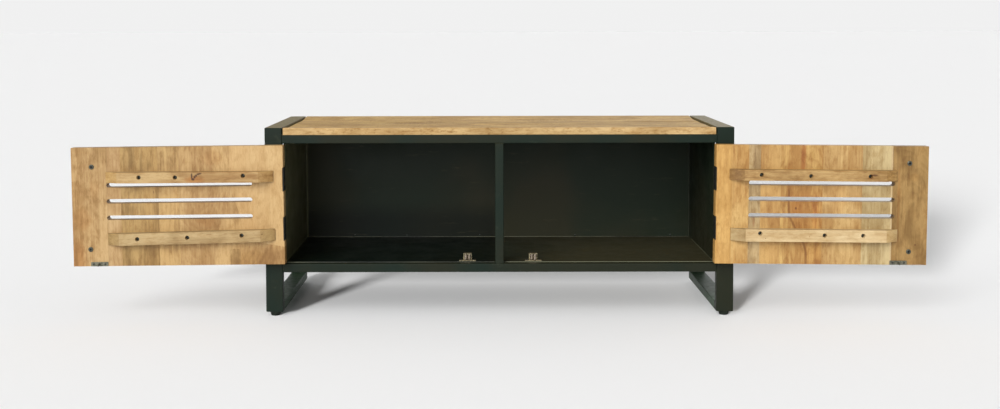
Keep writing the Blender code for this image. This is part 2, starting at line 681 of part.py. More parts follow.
def strike(side, home):
    """A plate on the door's inner face with a spear that parts the rollers."""
    back = DOOR_THICK + GAP
    x = CATCH_X[side]
    plate = box(side + "_strike", (x - STRIKE_LENGTH / 2, back, DOOR_Z),
                (x + STRIKE_LENGTH / 2, back + STRIKE_THICK, DOOR_Z + STRIKE_HEIGHT))
    as_part(plate, bright_steel, home)
    neck_end = ROLLER_Y + ROLLER_RADIUS - SPEAR_BARB[0]
    widest = ROLLER_Y + ROLLER_RADIUS + SPEAR_BARB[1]
    tip = back + SPEAR_LENGTH
    outline = [(-SPEAR_NECK, back + STRIKE_THICK / 2), (SPEAR_NECK, back + STRIKE_THICK / 2),
               (SPEAR_NECK, neck_end), (SPEAR_HEAD, widest), (SPEAR_TIP, tip), (-SPEAR_TIP, tip),
               (-SPEAR_HEAD, widest), (-SPEAR_NECK, neck_end)]
    spear = extruded(side + "_spear", [outline], SPEAR_HEIGHT,
                     Matrix.Translation((x, 0.0, DOOR_Z + STRIKE_HEIGHT / 2)))
    cut(plate, spear, "UNION")
    places = strike_screw_places(side)
    ends = [((sx, back - WALL, z), (sx, back + 2 * STRIKE_THICK, z)) for sx, z in places]
    cut(plate, rods(side + "_strike_holes", SMALL_HOLE_RADIUS, ends, "Y", sides=10))


def catch_screw_places(side):
    step = (CATCH_BASE_HALF + CATCH_BODY_HALF) / 2
    return [(CATCH_X[side] + way * step, CATCH_FRONT + CATCH_DEPTH / 2) for way in (-1, 1)]


def catch_body(side, home):
    """A C-shaped steel body on a base plate, with slots for the rollers' axles."""
    x = CATCH_X[side]
    base = FLOOR_TOP + GAP
    back, front = CATCH_FRONT + CATCH_DEPTH, CATCH_FRONT
    body = box(side + "_catch_body", (x - CATCH_BASE_HALF, front, base),
               (x + CATCH_BASE_HALF, back, base + CATCH_SHEET))
    as_part(body, bright_steel, home)
    top = base + CATCH_HEIGHT
    lap = base + CATCH_SHEET / 2
    rear = back - HOOD_INSET
    outline = [(front, top - CATCH_SHEET), (back - CATCH_SHEET, top - CATCH_SHEET),
               (back - CATCH_SHEET, lap), (rear, lap), (rear, top), (front, top)]
    turn = Matrix.Rotation(math.pi / 2, 4, "Z") @ Matrix.Rotation(math.pi / 2, 4, "X")
    place = Matrix.Translation((x, 0, 0)) @ turn
    hood = extruded(side + "_catch_hood", [outline], 2 * CATCH_BODY_HALF, place)
    cut(body, hood, "UNION")
    for way in (-1, 1):
        cut(body, axle_slot(side, way, base, top))
    ends = [((sx, sy, base - WALL), (sx, sy, base + 2 * CATCH_SHEET))
            for sx, sy in catch_screw_places(side)]
    cut(body, rods(side + "_catch_holes", SMALL_HOLE_RADIUS, ends, "Z", sides=10))


def axle_slot(side, way, base, top):
    """A slot through base and roof, long enough for a roller to move outwards."""
    centre = CATCH_X[side] + way * ROLLER_PITCH / 2
    reach = AXLE_RADIUS + SLOT_CLEARANCE
    x_low, x_high = sorted((centre - way * reach, centre + way * (reach + ROLLER_TRAVEL)))
    name = side + "_axle_slot_" + ("outer" if way * CATCH_X[side] > 0 else "inner")
    return box(name, (x_low, ROLLER_Y - reach, base - WALL), (x_high, ROLLER_Y + reach, top + WALL))


def rollers(side, home):
    base, roof = FLOOR_TOP + GAP, FLOOR_TOP + GAP + CATCH_HEIGHT
    low, high = base + CATCH_SHEET + GAP, roof - CATCH_SHEET - GAP
    shoulder = ROLLER_RADIUS - ROLLER_CHAMFER
    profile = [(0.0, roof), (AXLE_RADIUS, roof), (AXLE_RADIUS, high), (shoulder, high),
               (ROLLER_RADIUS, high - ROLLER_CHAMFER), (ROLLER_RADIUS, low + ROLLER_CHAMFER),
               (shoulder, low), (AXLE_RADIUS, low), (AXLE_RADIUS, base + GAP), (0.0, base + GAP)]
    middle = (base + roof) / 2
    profile = [(radius, z - middle) for radius, z in profile]
    for way in (-1, 1):
        name = side + "_catch_roller_" + ("outer" if way * CATCH_X[side] > 0 else "inner")
        roller = turned(name, profile, None, steps=16)
        roller.matrix_basis = Matrix.Translation((CATCH_X[side] + way * ROLLER_PITCH / 2, ROLLER_Y, middle))
        as_part(roller, roller_steel, home)


# ---------------------------------------------------------------- assembly

def door_pivot(side, sign, cabinet):
    """An empty on the hinge axis, swung open, and the place it has when the door is closed."""
    closed = Matrix.Translation((sign * AXIS_X, AXIS_Y, DOOR_MIDDLE_Z))
    axis = Vector((sign * math.sin(AXIS_LEAN), 0.0, math.cos(AXIS_LEAN)))
    swing = Matrix.Rotation(sign * OPEN_ANGLE, 4, axis)
    return new_empty(side + "_door_pivot", closed @ swing, cabinet), closed


def door(side, sign, home):
    door_panel(side, sign, home)
    for level in ("upper", "lower"):
        batten(side, sign, level, home)
    handle(side, sign, home)
    strike(side, home)
    for end in HINGE_H:
        door_leaf(side, sign, end, home)


def build():
    cabinet = new_empty("cabinet", Matrix.Translation((0.0, -(DEPTH - OPEN_DOOR_REACH) / 2, 0.0)))
    fixed = (cabinet, Matrix.Identity(4))
    side_frames(fixed)
    feet(fixed)
    cross_rails(fixed)
    carcass(fixed)
    wooden_top(fixed)
    hinge_pins(fixed)
    for side, sign in SIDES.items():
        catch_body(side, fixed)
        rollers(side, fixed)
        for end in HINGE_H:
            frame_leaf(side, sign, end, fixed)
        door(side, sign, door_pivot(side, sign, cabinet))


clear_scene()
parts = new_collection("tv_stand")
cutters = new_collection("cutters")
frame_paint = new_material("frame_paint", (0.018, 0.026, 0.022), 0.42, 0.0)
sheet_paint = new_material("sheet_paint", (0.010, 0.014, 0.012), 0.38, 0.0)
hinge_paint = new_material("hinge_paint", (0.012, 0.012, 0.012), 0.40, 0.6)
plastic = new_material("plastic", (0.015, 0.015, 0.015), 0.60, 0.0)
top_wood = new_material("top_wood", (0.42, 0.28, 0.14), 0.55, 0.0)
door_wood = new_material("door_wood", (0.52, 0.34, 0.16), 0.55, 0.0)
batten_wood = new_material("batten_wood", (0.50, 0.35, 0.18), 0.55, 0.0)
hardware = new_material("hardware", (0.05, 0.05, 0.05), 0.45, 0.9)
bright_steel = new_material("bright_steel", (0.45, 0.45, 0.42), 0.35, 1.0)
roller_steel = new_material("roller_steel", (0.30, 0.30, 0.28), 0.35, 1.0)
build()
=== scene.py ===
"""Looks of the low media cabinet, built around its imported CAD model.

Units are metres, +Z is up and the front faces -Y. Each door has its own frame, worked out from its
hinge joint: s runs from the hinge edge to the free edge, d from the outer face to the inner face,
and h from the bottom edge.
"""
import json
import math
import random

import bmesh
import bpy
import numpy as np
from mathutils import Matrix, Vector


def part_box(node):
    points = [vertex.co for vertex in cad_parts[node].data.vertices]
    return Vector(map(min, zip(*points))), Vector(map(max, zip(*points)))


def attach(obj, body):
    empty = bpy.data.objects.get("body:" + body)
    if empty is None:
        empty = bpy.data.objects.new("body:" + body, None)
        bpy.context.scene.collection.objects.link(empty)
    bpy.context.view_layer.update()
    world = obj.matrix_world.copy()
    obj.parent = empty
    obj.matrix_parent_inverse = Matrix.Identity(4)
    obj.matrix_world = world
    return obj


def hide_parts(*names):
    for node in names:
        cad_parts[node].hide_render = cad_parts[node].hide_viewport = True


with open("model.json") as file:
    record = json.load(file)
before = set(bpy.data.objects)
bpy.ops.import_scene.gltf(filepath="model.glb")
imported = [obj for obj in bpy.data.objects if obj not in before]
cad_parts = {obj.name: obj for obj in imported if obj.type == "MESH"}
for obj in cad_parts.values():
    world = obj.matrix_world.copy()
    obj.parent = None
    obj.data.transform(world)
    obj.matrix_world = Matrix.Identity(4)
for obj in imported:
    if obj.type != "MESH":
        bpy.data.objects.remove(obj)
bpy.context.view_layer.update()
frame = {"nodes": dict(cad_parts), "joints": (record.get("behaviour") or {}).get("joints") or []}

SIDES = {"left": -1, "right": 1}
NODES = frame["nodes"]
JOINTS = {j["name"]: j for j in frame["joints"]}
MERGE = 0.00001
SMOOTH_ANGLE = math.radians(30)
EASE = 0.0006                    # radius of eased wooden arrises
BATTEN_EASE = 0.0008
SEED = 7

# Driving dimensions of the CAD that its boxes don't show
BATTEN_BEVEL = 0.031
COUNTERBORE_DEPTH = 0.008
STRIKE_THICK = 0.0015
CATCH_SHEET = 0.0012


# ------------ doors' own frames

def swing(side):
    """Matrix that carries a door from closed to its open rest place."""
    joint = JOINTS[side + "_door_hinge"]
    closed = max(joint["range_deg"], key=abs)
    pivot = Matrix.Translation(Vector(joint["pos_m"]))
    return pivot @ Matrix.Rotation(math.radians(-closed), 4, Vector(joint["axis"])) @ pivot.inverted()


def points_in(node, space):
    """A CAD piece's points in a space that is given by its matrix."""
    into = space.inverted()
    return [into @ v.co for v in NODES[node].data.vertices]


def box_in(node, space):
    """Lowest and highest corner of a CAD piece in a space."""
    points = np.array(points_in(node, space))
    return Vector(points.min(0)), Vector(points.max(0))


def door_frame(side):
    """Matrix from door coordinates (s, d, h) to the row frame at rest."""
    sign = SIDES[side]
    low, high = box_in(side + "_door_panel", swing(side))
    hinge_edge = max(abs(low.x), abs(high.x)) * sign
    flip = Matrix.Diagonal((-sign, 1.0, 1.0, 1.0))
    return swing(side) @ Matrix.Translation((hinge_edge, low.y, low.z)) @ flip


# ------------ node tools

def srgb(red, green, blue):
    """Linear colour from 8-bit values."""
    values = (red / 255, green / 255, blue / 255)
    return tuple(v / 12.92 if v <= 0.04045 else ((v + 0.055) / 1.055) ** 2.4 for v in values)


class Paint:
    """A material, and short ways to add nodes to it."""

    def __init__(self, name, roughness=0.5, metallic=0.0, specular=0.5):
        self.material = bpy.data.materials.new(name)
        self.material.use_nodes = True
        self.tree = self.material.node_tree
        self.shader = self.tree.nodes["Principled BSDF"]
        self.shader.inputs["Roughness"].default_value = roughness
        self.shader.inputs["Metallic"].default_value = metallic
        self.shader.inputs["Specular IOR Level"].default_value = specular

    def feed(self, socket, value):
        if isinstance(value, bpy.types.NodeSocket):
            self.tree.links.new(value, socket)
        elif socket.type == "RGBA" and len(value) == 3:
            socket.default_value = (*value, 1.0)
        else:
            socket.default_value = value

    def node(self, kind, inputs, **settings):
        made = self.tree.nodes.new(kind)
        for key, value in settings.items():
            setattr(made, key, value)
        for key, value in inputs.items():
            self.feed(made.inputs[key], value)
        return made

    def sum(self, operation, a, b=0.0, clamp=False):
        return self.node("ShaderNodeMath", {0: a, 1: b}, operation=operation, use_clamp=clamp).outputs[0]

    def add(self, a, b):
        return self.sum("ADD", a, b)

    def times(self, a, b):
        return self.sum("MULTIPLY", a, b)

    def less(self, a, b):
        return self.sum("SUBTRACT", a, b)

    def vector(self, x, y, z):
        return self.node("ShaderNodeCombineXYZ", {0: x, 1: y, 2: z}).outputs[0]

    def split(self, vector):
        return self.node("ShaderNodeSeparateXYZ", {0: vector}).outputs

    def mix(self, factor, a, b, blend="MIX"):
        made = self.node("ShaderNodeMix", {0: factor, 6: a, 7: b}, data_type="RGBA", blend_type=blend)
        return made.outputs[2]

    def ease(self, value, low, high, to_low=0.0, to_high=1.0):
        """Smooth step from one range to another."""
        inputs = {"Value": value, "From Min": low, "From Max": high, "To Min": to_low, "To Max": to_high}
        return self.node("ShaderNodeMapRange", inputs, interpolation_type="SMOOTHSTEP").outputs[0]

    def noise(self, vector, scale, detail=2.0, roughness=0.5, distortion=0.0):
        inputs = {"Vector": vector, "Scale": scale, "Detail": detail, "Roughness": roughness,
                  "Distortion": distortion}
        return self.node("ShaderNodeTexNoise", inputs).outputs[0]

    def ramp(self, value, stops, interpolation="LINEAR"):
        made = self.node("ShaderNodeValToRGB", {0: value})
        made.color_ramp.interpolation = interpolation
        elements = made.color_ramp.elements
        while len(elements) < len(stops):
            elements.new(1.0)
        for element, (place, colour) in zip(elements, stops):
            element.position = place
            element.color = (*colour, 1.0) if len(colour) == 3 else colour
        return made.outputs[0]

    def place(self, matrix=None):
        """Coordinates of the rest pose, carried through a matrix."""
        spot = self.node("ShaderNodeTexCoord", {}).outputs["Object"]
        if matrix is None:
            return spot
        flip = matrix.determinant() < 0
        turn = Matrix.Diagonal((-1.0, 1.0, 1.0, 1.0)) @ matrix if flip else matrix
        inputs = {"Vector": spot, "Location": turn.to_translation(), "Rotation": turn.to_euler()}
        moved = self.node("ShaderNodeMapping", inputs).outputs[0]
        if not flip:
            return moved
        return self.node("ShaderNodeMapping", {"Vector": moved, "Scale": (-1.0, 1.0, 1.0)}).outputs[0]

    def spot(self, place, centre, radii, wobble=0.35, wobble_scale=60.0):
        """1 in the middle of a soft uneven oval, 0 outside it. A radius of None runs on without end."""
        scale = tuple(0.0 if r is None else 1.0 / r for r in radii)
        offset = self.node("ShaderNodeVectorMath", {0: place, 1: centre}, operation="SUBTRACT").outputs[0]
        shape = self.node("ShaderNodeVectorMath", {0: offset, 1: scale}, operation="MULTIPLY").outputs[0]
        far = self.node("ShaderNodeVectorMath", {0: shape}, operation="LENGTH").outputs["Value"]
        uneven = self.times(self.less(self.noise(place, wobble_scale, 3.0), 0.5), wobble * 2)
        return self.ease(self.add(far, uneven), 1.0, 0.35)

    def stain(self, colour, where, tint, strength=1.0):
        return self.mix(self.times(where, strength), colour, self.mix(1.0, colour, tint, "MULTIPLY"))

    def bump(self, height, distance, strength=1.0):
        inputs = {"Height": height, "Distance": distance, "Strength": strength}
        self.feed(self.shader.inputs["Normal"], self.node("ShaderNodeBump", inputs).outputs[0])

    def colour(self, value):
        self.feed(self.shader.inputs["Base Color"], value)

    def rough(self, value):
        self.feed(self.shader.inputs["Roughness"], value)


# ------------ wood

TONE = 0.64                      # share of light that the oiled wood gives back
TABLE_SPAN = 0.5                 # length that a plank table covers
RING_WIDTH = 0.0100
RING_WANDER = 0.050              # how far the rings' core strays from side to side
RING_SWIRL = 5.0                 # rings by which the swirls shift the figure
RING_SHADES = ((0.0, 0.30), (0.40, 0.42), (0.78, 0.88), (0.90, 0.70), (1.0, 0.30))
STREAKS, FINE_STREAKS, CLOUDS = 0.48, 0.28, 0.85
PORE_DENSITY = 1300.0
PORE_TINT = (0.62, 0.54, 0.45)
WARM_TINT = (1.0, 0.92, 0.80)
MOTTLE_TINT = (0.80, 0.73, 0.62)


def wood_figure(p, across, depth, along, look):
    """Colour and surface height of a board cut from a log. look gives the log's place and tones.

    centre and pith place the log's core beside and below the board; peak, tilt and bow bend the rings
    along it, so that they surface as arches or ovals.
    """
    seed = look["seed"]
    lane = p.vector(p.add(across, p.times(seed, 0.37)), depth, p.add(along, seed))
    x, y, z = p.split(lane)
    wander = p.noise(p.vector(seed, 0.0, p.times(z, 1.0)), 7.0, 2.0)
    swirl = p.noise(p.vector(x, y, p.times(z, 0.45)), 13.0, 4.0, 0.60)
    rise = p.less(along, look["peak"])
    bent = p.add(p.times(rise, look["tilt"]), p.times(p.times(rise, rise), look["bow"]))
    side = p.add(p.less(across, look["centre"]), p.times(p.less(wander, 0.5), RING_WANDER))
    down = p.add(p.add(look["pith"], depth), bent)
    reach = p.sum("SQRT", p.add(p.times(side, side), p.times(down, down)))
    turns = p.add(p.times(reach, 1.0 / RING_WIDTH), p.times(swirl, RING_SWIRL))
    ring = p.ramp(p.sum("FRACT", turns), [(at, (shade,) * 3) for at, shade in RING_SHADES])
    fade = p.ease(p.noise(p.vector(p.times(x, 2.0), y, z), 11.0, 2.0), 0.36, 0.62, 0.15, 1.0)
    ring = p.add(p.times(p.less(ring, 0.5), fade), 0.5)
    streak = p.ease(p.noise(p.vector(x, y, p.times(z, 0.045)), 170.0, 3.0, 0.6), 0.33, 0.67)
    fine = p.ease(p.noise(p.vector(x, y, p.times(z, 0.03)), 620.0, 2.0, 0.6), 0.30, 0.70)
    cloud = p.ease(p.noise(p.vector(x, y, p.times(z, 0.4)), 20.0, 3.0, 0.6, 0.6), 0.36, 0.64)
    pore = p.ease(p.noise(p.vector(x, y, p.times(z, 0.07)), PORE_DENSITY, 1.0), 0.60, 0.70)
    tone = 0.5
    for value, weight in ((ring, look["ring"]), (streak, STREAKS), (fine, FINE_STREAKS), (cloud, CLOUDS)):
        tone = p.add(tone, p.times(p.less(value, 0.5), p.times(weight, look["contrast"])))
    colour = p.mix(p.sum("ADD", tone, 0.0, clamp=True), look["light"], look["dark"])
    colour = p.stain(colour, pore, PORE_TINT, 0.55)
    warm = p.ease(p.noise(p.vector(x, y, p.times(z, 0.25)), 9.0, 2.0), 0.42, 0.68)
    colour = p.stain(colour, warm, WARM_TINT, 0.45)
    mottle = p.ease(p.noise(p.vector(x, y, p.times(z, 0.42)), 95.0, 4.0, 0.65), 0.46, 0.66)
    colour = p.stain(colour, mottle, MOTTLE_TINT, p.times(look["contrast"], 0.85))
    height = p.less(p.add(p.times(fine, 0.35), p.times(streak, 0.35)), pore)
    return colour, height


def board_look(light, dark, centre, pith, peak, tilt, bow, contrast, ring, seed):
    """One board's tones, the place of its log, and the strength of its figure."""
    light, dark = (tuple(v * TONE for v in srgb(*c)) for c in (light, dark))
    return {"light": light, "dark": dark, "centre": centre, "pith": pith, "peak": peak,
            "tilt": tilt, "bow": bow, "contrast": contrast, "ring": ring, "seed": seed}


def plank_table(p, s, planks):
    """One look whose values change from plank to plank. planks lists (first s, look)."""
    where = p.times(s, 1.0 / TABLE_SPAN)
    tables = {}
    for key in ("light", "dark"):
        tables[key] = p.ramp(where, [(start / TABLE_SPAN, look[key]) for start, look in planks], "CONSTANT")
    offsets = {"tilt": 0.5, "bow": 0.5}
    scales = {"centre": 1.0, "pith": 0.1, "peak": 0.5, "tilt": 2.0, "bow": 20.0, "contrast": 2.0,
              "ring": 2.0, "seed": 10.0}
    keys = list(scales)
    for first in range(0, len(keys), 3):
        group = keys[first:first + 3]
        stops = []
        for start, look in planks:
            packed = [look[k] / scales[k] + offsets.get(k, 0.0) for k in group]
            stops.append((start / TABLE_SPAN, (*packed, *([0.0] * (3 - len(packed))))))
        parts = p.split(p.ramp(where, stops, "CONSTANT"))
        for k, value in zip(group, parts):
            tables[k] = p.times(p.less(value, offsets.get(k, 0.0)), scales[k])
    return tables


def joint_lines(p, s, lines):
    """Shade along the glue lines between planks. lines lists (s, half width, shade)."""
    stops = [(0.0, (1.0,) * 3)]
    for place, half, shade in lines:
        for offset, value in ((-half, 1.0), (0.0, shade), (half, 1.0)):
            stops.append(((place + offset) / TABLE_SPAN, (value,) * 3))
    return p.ramp(p.times(s, 1.0 / TABLE_SPAN), stops)


# Boards: where each starts, then its look as board_look takes it
LEFT_PLANKS = (
    (0.0000, (229, 192, 134), (209, 168, 108), 0.06, 0.080, 0.1, 0.3, 0.0, 0.70, 0.20, 0.3),
    (0.1235, (220, 182, 122), (180, 138, 82), 0.185, 0.012, 0.10, -0.42, 0.0, 0.95, 0.60, 1.7),
    (0.2420, (216, 178, 116), (174, 136, 80), 0.30, 0.050, 0.1, 0.1, 0.0, 1.1, 0.4, 2.9),
    (0.2900, (200, 163, 101), (156, 121, 66), 0.32, 0.030, 0.2, 0.25, 0.0, 1.10, 0.4, 4.1),
    (0.3780, (218, 182, 128), (188, 148, 94), 0.42, 0.060, 0.1, 0.1, 0.0, 0.9, 0.3, 5.2),
    (0.4100, (217, 180, 124), (180, 140, 84), 0.455, 0.010, 0.03, 0.36, 0.0, 1.1, 0.50, 6.6),
)
RIGHT_PLANKS = (
    (0.0000, (236, 188, 112), (208, 158, 84), 0.03, 0.060, 0.1, 0.1, 0.0, 0.9, 0.35, 7.1),
    (0.0352, (231, 190, 120), (202, 154, 86), 0.09, 0.080, 0.1, 0.05, 0.0, 1.0, 0.3, 8.3),
    (0.0748, (212, 184, 134), (172, 142, 96), 0.09, 0.070, 0.1, 0.05, 0.0, 1.15, 0.3, 9.4),
    (0.1027, (222, 180, 112), (188, 142, 80), 0.14, 0.070, 0.1, 0.1, 0.0, 1.0, 0.35, 1.1),
    (0.1493, (226, 186, 114), (188, 140, 76), 0.197, 0.014, 0.20, 0.33, 0.0, 1.15, 0.70, 2.3),
    (0.2471, (226, 188, 124), (194, 150, 88), 0.28, 0.060, 0.1, 0.1, 0.0, 1.0, 0.35, 3.8),
    (0.3379, (220, 196, 144), (182, 154, 102), 0.37, 0.045, 0.1, 0.15, 0.0, 1.1, 0.45, 4.6),
    (0.4043, (232, 206, 158), (216, 184, 134), 0.41, 0.090, 0.1, 0.0, 0.0, 0.6, 0.1, 5.5),
    (0.4100, (184, 146, 86), (144, 108, 54), 0.457, 0.006, 0.112, 0.0, 2.4, 0.95, 0.60, 6.2),
)
# Glue lines of the doors: s, half width, shade
DOOR_LINES = {
    "left": ((0.1235, 0.0008, 0.93), (0.2420, 0.0008, 0.90), (0.2900, 0.0008, 0.91),
             (0.3780, 0.0014, 1.12), (0.4100, 0.0008, 0.84)),
    "right": ((0.0352, 0.0008, 0.88), (0.0448, 0.0012, 1.10), (0.0748, 0.0008, 0.90),
              (0.1027, 0.0008, 0.92), (0.1493, 0.0010, 0.86), (0.2471, 0.0008, 0.86),
              (0.3379, 0.0008, 0.94), (0.4100, 0.0008, 0.82)),
}
# Stains: centre (s, h), radii (s, h), tint, strength
DOOR_STAINS = {
    "left": (
        ((0.065, 0.000), (0.080, 0.062), (0.70, 0.62, 0.48), 1.00),
        ((0.112, 0.140), (0.012, 0.070), (0.80, 0.76, 0.66), 0.80),
        ((0.180, 0.105), (0.030, 0.026), (0.88, 0.76, 0.62), 0.80),
        ((0.165, 0.250), (0.034, 0.024), (0.88, 0.78, 0.66), 0.75),
        ((0.325, 0.180), (0.045, 0.030), (0.90, 0.86, 0.80), 0.50),
        ((0.484, 0.018), (0.026, 0.060), (0.86, 0.70, 0.52), 0.90),
        ((0.432, 0.255), (0.030, 0.028), (0.80, 0.76, 0.66), 0.80),
        ((0.470, 0.110), (0.030, 0.040), (0.90, 0.78, 0.62), 0.70),
        ((0.440, 0.180), (0.016, 0.030), (0.92, 0.84, 0.72), 0.70),
        ((0.350, 0.240), (0.012, 0.040), (0.84, 0.80, 0.70), 0.60),
        ((0.3020, 0.1720), (0.0012, 0.0050), (0.45, 0.34, 0.25), 0.90),
    ),
    "right": (
        ((0.202, 0.250), (0.008, 0.070), (0.78, 0.54, 0.42), 0.90),
        ((0.187, 0.130), (0.020, 0.028), (0.88, 0.74, 0.58), 0.70),
        ((0.1865, 0.130), (0.003, 0.0045), (0.40, 0.26, 0.18), 0.95),
        ((0.089, 0.100), (0.0045, 0.022), (0.66, 0.46, 0.34), 0.75),
        ((0.088, 0.270), (0.012, 0.050), (0.86, 0.84, 0.86), 0.70),
        ((0.236, 0.040), (0.012, 0.060), (0.78, 0.66, 0.54), 0.60),
        ((0.425, 0.140), (0.004, 0.130), (0.92, 0.68, 0.46), 0.55),
        ((0.457, 0.112), (0.015, 0.040), (0.88, 0.84, 0.76), 0.35),
        ((0.232, 0.120), (0.012, 0.050), (0.90, 0.70, 0.54), 0.60),
        ((0.170, 0.200), (0.012, 0.050), (0.86, 0.72, 0.56), 0.60),
        ((0.285, 0.160), (0.030, 0.060), (0.94, 0.82, 0.68), 0.50),
        ((0.466, 0.047), (0.0030, 0.0030), (0.55, 0.36, 0.22), 0.90),
        ((0.460, 0.205), (0.020, 0.012), (1.12, 1.04, 0.90), 0.50),
    ),
}
# The left door's sapwood edge: heights between which it drifts, and how far. It fades over a range of s
SAP_DRIFTS = ((0.210, 0.070, 0.030), (0.062, 0.034, 0.110))
SAP_FADE = (0.20, 0.10)
# The right door's heartwood edge: heights between which it sways, s at each, and s where its plank ends
VEIN_TOP = 0.130
VEIN_FOOT = 0.020
VEIN_S = (0.170, 0.212)
VEIN_END = 0.2471
VEIN_WIDTH = (0.0042, 0.0010)
VEIN_TINT = (0.52, 0.38, 0.27)
HEART_TINT = (0.92, 0.80, 0.66)
# Ring-shaped mark on the right door: s, h, radius and the share of it that is clear
RING_MARK = (0.0066, 0.0922, 0.0042, 0.62)
RING_MARK_TINT = (0.42, 0.28, 0.16)
# Roughness from the depth of a pore to the crest of the grain
DOOR_ROUGH = (0.62, 0.46)
TOP_ROUGH = (0.68, 0.50)


def heart_marks(p, colour, s, h, flat):
    """The right door's heartwood with the dark vein along its edge, and its ring-shaped mark."""
    beside = p.less(s, p.ease(h, VEIN_TOP, VEIN_FOOT, *VEIN_S))
    heart = p.times(p.ease(beside, 0.0, 0.0020), p.ease(s, VEIN_END + 0.0004, VEIN_END - 0.0004))
    colour = p.stain(colour, p.times(heart, p.ease(h, 0.200, 0.150)), HEART_TINT, 0.60)
    vein = p.times(p.ease(p.sum("ABSOLUTE", beside), *VEIN_WIDTH), p.ease(h, 0.190, 0.160))
    colour = p.stain(colour, vein, VEIN_TINT, 0.80)
    ring_s, ring_h, radius, clear = RING_MARK
    outer, inner = (p.spot(flat, (ring_s, 0.0, ring_h), (r, None, r), 0.1)
                    for r in (radius, radius * clear))
    return p.stain(colour, p.less(outer, inner), RING_MARK_TINT, 0.9)


def door_wood(side):
    p = Paint(side + "_door_wood", roughness=0.5, specular=0.35)
    s, d, h = p.split(p.place(door_frame(side).inverted()))
    table_s = s
    if side == "left":
        drift = p.add(*(p.ease(h, top, foot, 0.0, far) for top, foot, far in SAP_DRIFTS))
        table_s = p.add(s, p.times(drift, p.ease(s, *SAP_FADE)))
    rows = LEFT_PLANKS if side == "left" else RIGHT_PLANKS
    planks = [(start, board_look(*look)) for start, *look in rows]
    colour, height = wood_figure(p, s, d, h, plank_table(p, table_s, planks))
    flat = p.vector(s, 0.0, h)
    for (cs, ch), (rs, rh), tint, strength in DOOR_STAINS[side]:
        colour = p.stain(colour, p.spot(flat, (cs, 0.0, ch), (rs, None, rh)), tint, strength)
    if side == "right":
        colour = heart_marks(p, colour, s, h, flat)
    shade = joint_lines(p, s, DOOR_LINES[side])
    p.colour(p.mix(1.0, colour, shade, "MULTIPLY"))
    p.rough(p.ease(height, -1.0, 0.7, *DOOR_ROUGH))
    p.bump(p.add(height, p.times(p.split(shade)[0], 1.5)), 0.00022, 0.6)
    return p.material


BATTEN_LOOKS = {
    "left_upper": ((214, 180, 124), (178, 138, 82), 0.01, 0.020, 0.2, 0.10, 0.0, 0.95, 0.5, 1.4),
    "left_lower": ((208, 178, 126), (174, 144, 94), -0.02, 0.018, 0.3, 0.16, 0.0, 0.85, 0.5, 3.3),
    "right_upper": ((208, 170, 110), (164, 124, 68), 0.03, 0.014, 0.2, -0.22, 0.0, 1.1, 0.7, 5.7),
    "right_lower": ((242, 216, 168), (214, 182, 130), 0.0, 0.050, 0.2, 0.08, 0.0, 0.8, 0.35, 8.8),
}
# Marks on the battens: s, rise above the middle, radii (s, h), tint, strength
BATTEN_MARKS = {
    "left_upper": ((0.2010, -0.0050, 0.0300, 0.0110, (0.98, 0.72, 0.46), 0.85),
                   (0.2070, 0.0032, 0.0028, 0.0110, (0.20, 0.15, 0.11), 1.0),
                   (0.2040, -0.0040, 0.0048, 0.0040, (0.20, 0.15, 0.11), 1.0),
                   (0.2005, 0.0008, 0.0036, 0.0044, (0.22, 0.16, 0.11), 1.0),
                   (0.1970, 0.0046, 0.0042, 0.0038, (0.22, 0.16, 0.11), 1.0),
                   (0.1925, 0.0078, 0.0056, 0.0030, (0.24, 0.17, 0.12), 1.0),
                   (0.1875, 0.0092, 0.0050, 0.0022, (0.28, 0.20, 0.14), 1.0)),
    "left_lower": ((0.1700, 0.0075, 0.0090, 0.0014, (0.55, 0.42, 0.30), 0.8),
                   (0.1320, 0.0075, 0.0060, 0.0014, (0.55, 0.42, 0.30), 0.8),
                   (0.0480, 0.0040, 0.0028, 0.0018, (0.50, 0.38, 0.28), 0.9)),
    "right_upper": ((0.3600, 0.0022, 0.0150, 0.0030, (0.34, 0.22, 0.14), 0.95),
                    (0.3520, -0.0040, 0.0100, 0.0050, (0.90, 0.72, 0.52), 0.7)),
    "right_lower": ((0.1120, -0.0065, 0.0014, 0.0014, (0.30, 0.20, 0.14), 1.0),
                    (0.2140, -0.0010, 0.0014, 0.0030, (0.72, 0.54, 0.38), 0.8)),
}
# How much darker the battens' bevels are, from their end grain and from painted shade where a bevel faces
# away from the light: at the hinge end and at the free end
BATTEN_END_GRAIN_AND_SHADE = {"left_upper": (0.84, 0.94), "left_lower": (0.82, 0.80), "right_upper": (0.80, 0.86),
               "right_lower": (0.68, 0.80)}


def batten_wood(side, level):
    name = side + "_" + level
    p = Paint(name + "_batten_wood", roughness=0.5, specular=0.35)
    s, d, h = p.split(p.place(door_frame(side).inverted()))
    start, end, h_start, h_end = batten_line(side, level)
    slope = (h_end - h_start) / (end - start)
    middle = p.add(h_start, p.times(p.less(s, start), slope))
    rise = p.less(h, middle)
    colour, height = wood_figure(p, rise, d, s, board_look(*BATTEN_LOOKS[name]))
    flat = p.vector(s, 0.0, rise)
    for cs, ch, rs, rh, tint, strength in BATTEN_MARKS[name]:
        colour = p.stain(colour, p.spot(flat, (cs, 0.0, ch), (rs, None, rh), 0.25, 220.0), tint, strength)
    # End grain and painted shade darken each bevel
    for edge, inward, shade in zip((start, end), (1, -1), BATTEN_END_GRAIN_AND_SHADE[name]):
        limit = edge + inward * BATTEN_BEVEL
        where = p.ease(s, limit + inward * 0.0006, limit - inward * 0.0006)
        colour = p.stain(colour, where, (shade, shade * 0.94, shade * 0.78))
    p.colour(colour)
    p.rough(p.ease(height, -1.0, 0.7, *DOOR_ROUGH))
    p.bump(height, 0.00020, 0.6)
    return p.material


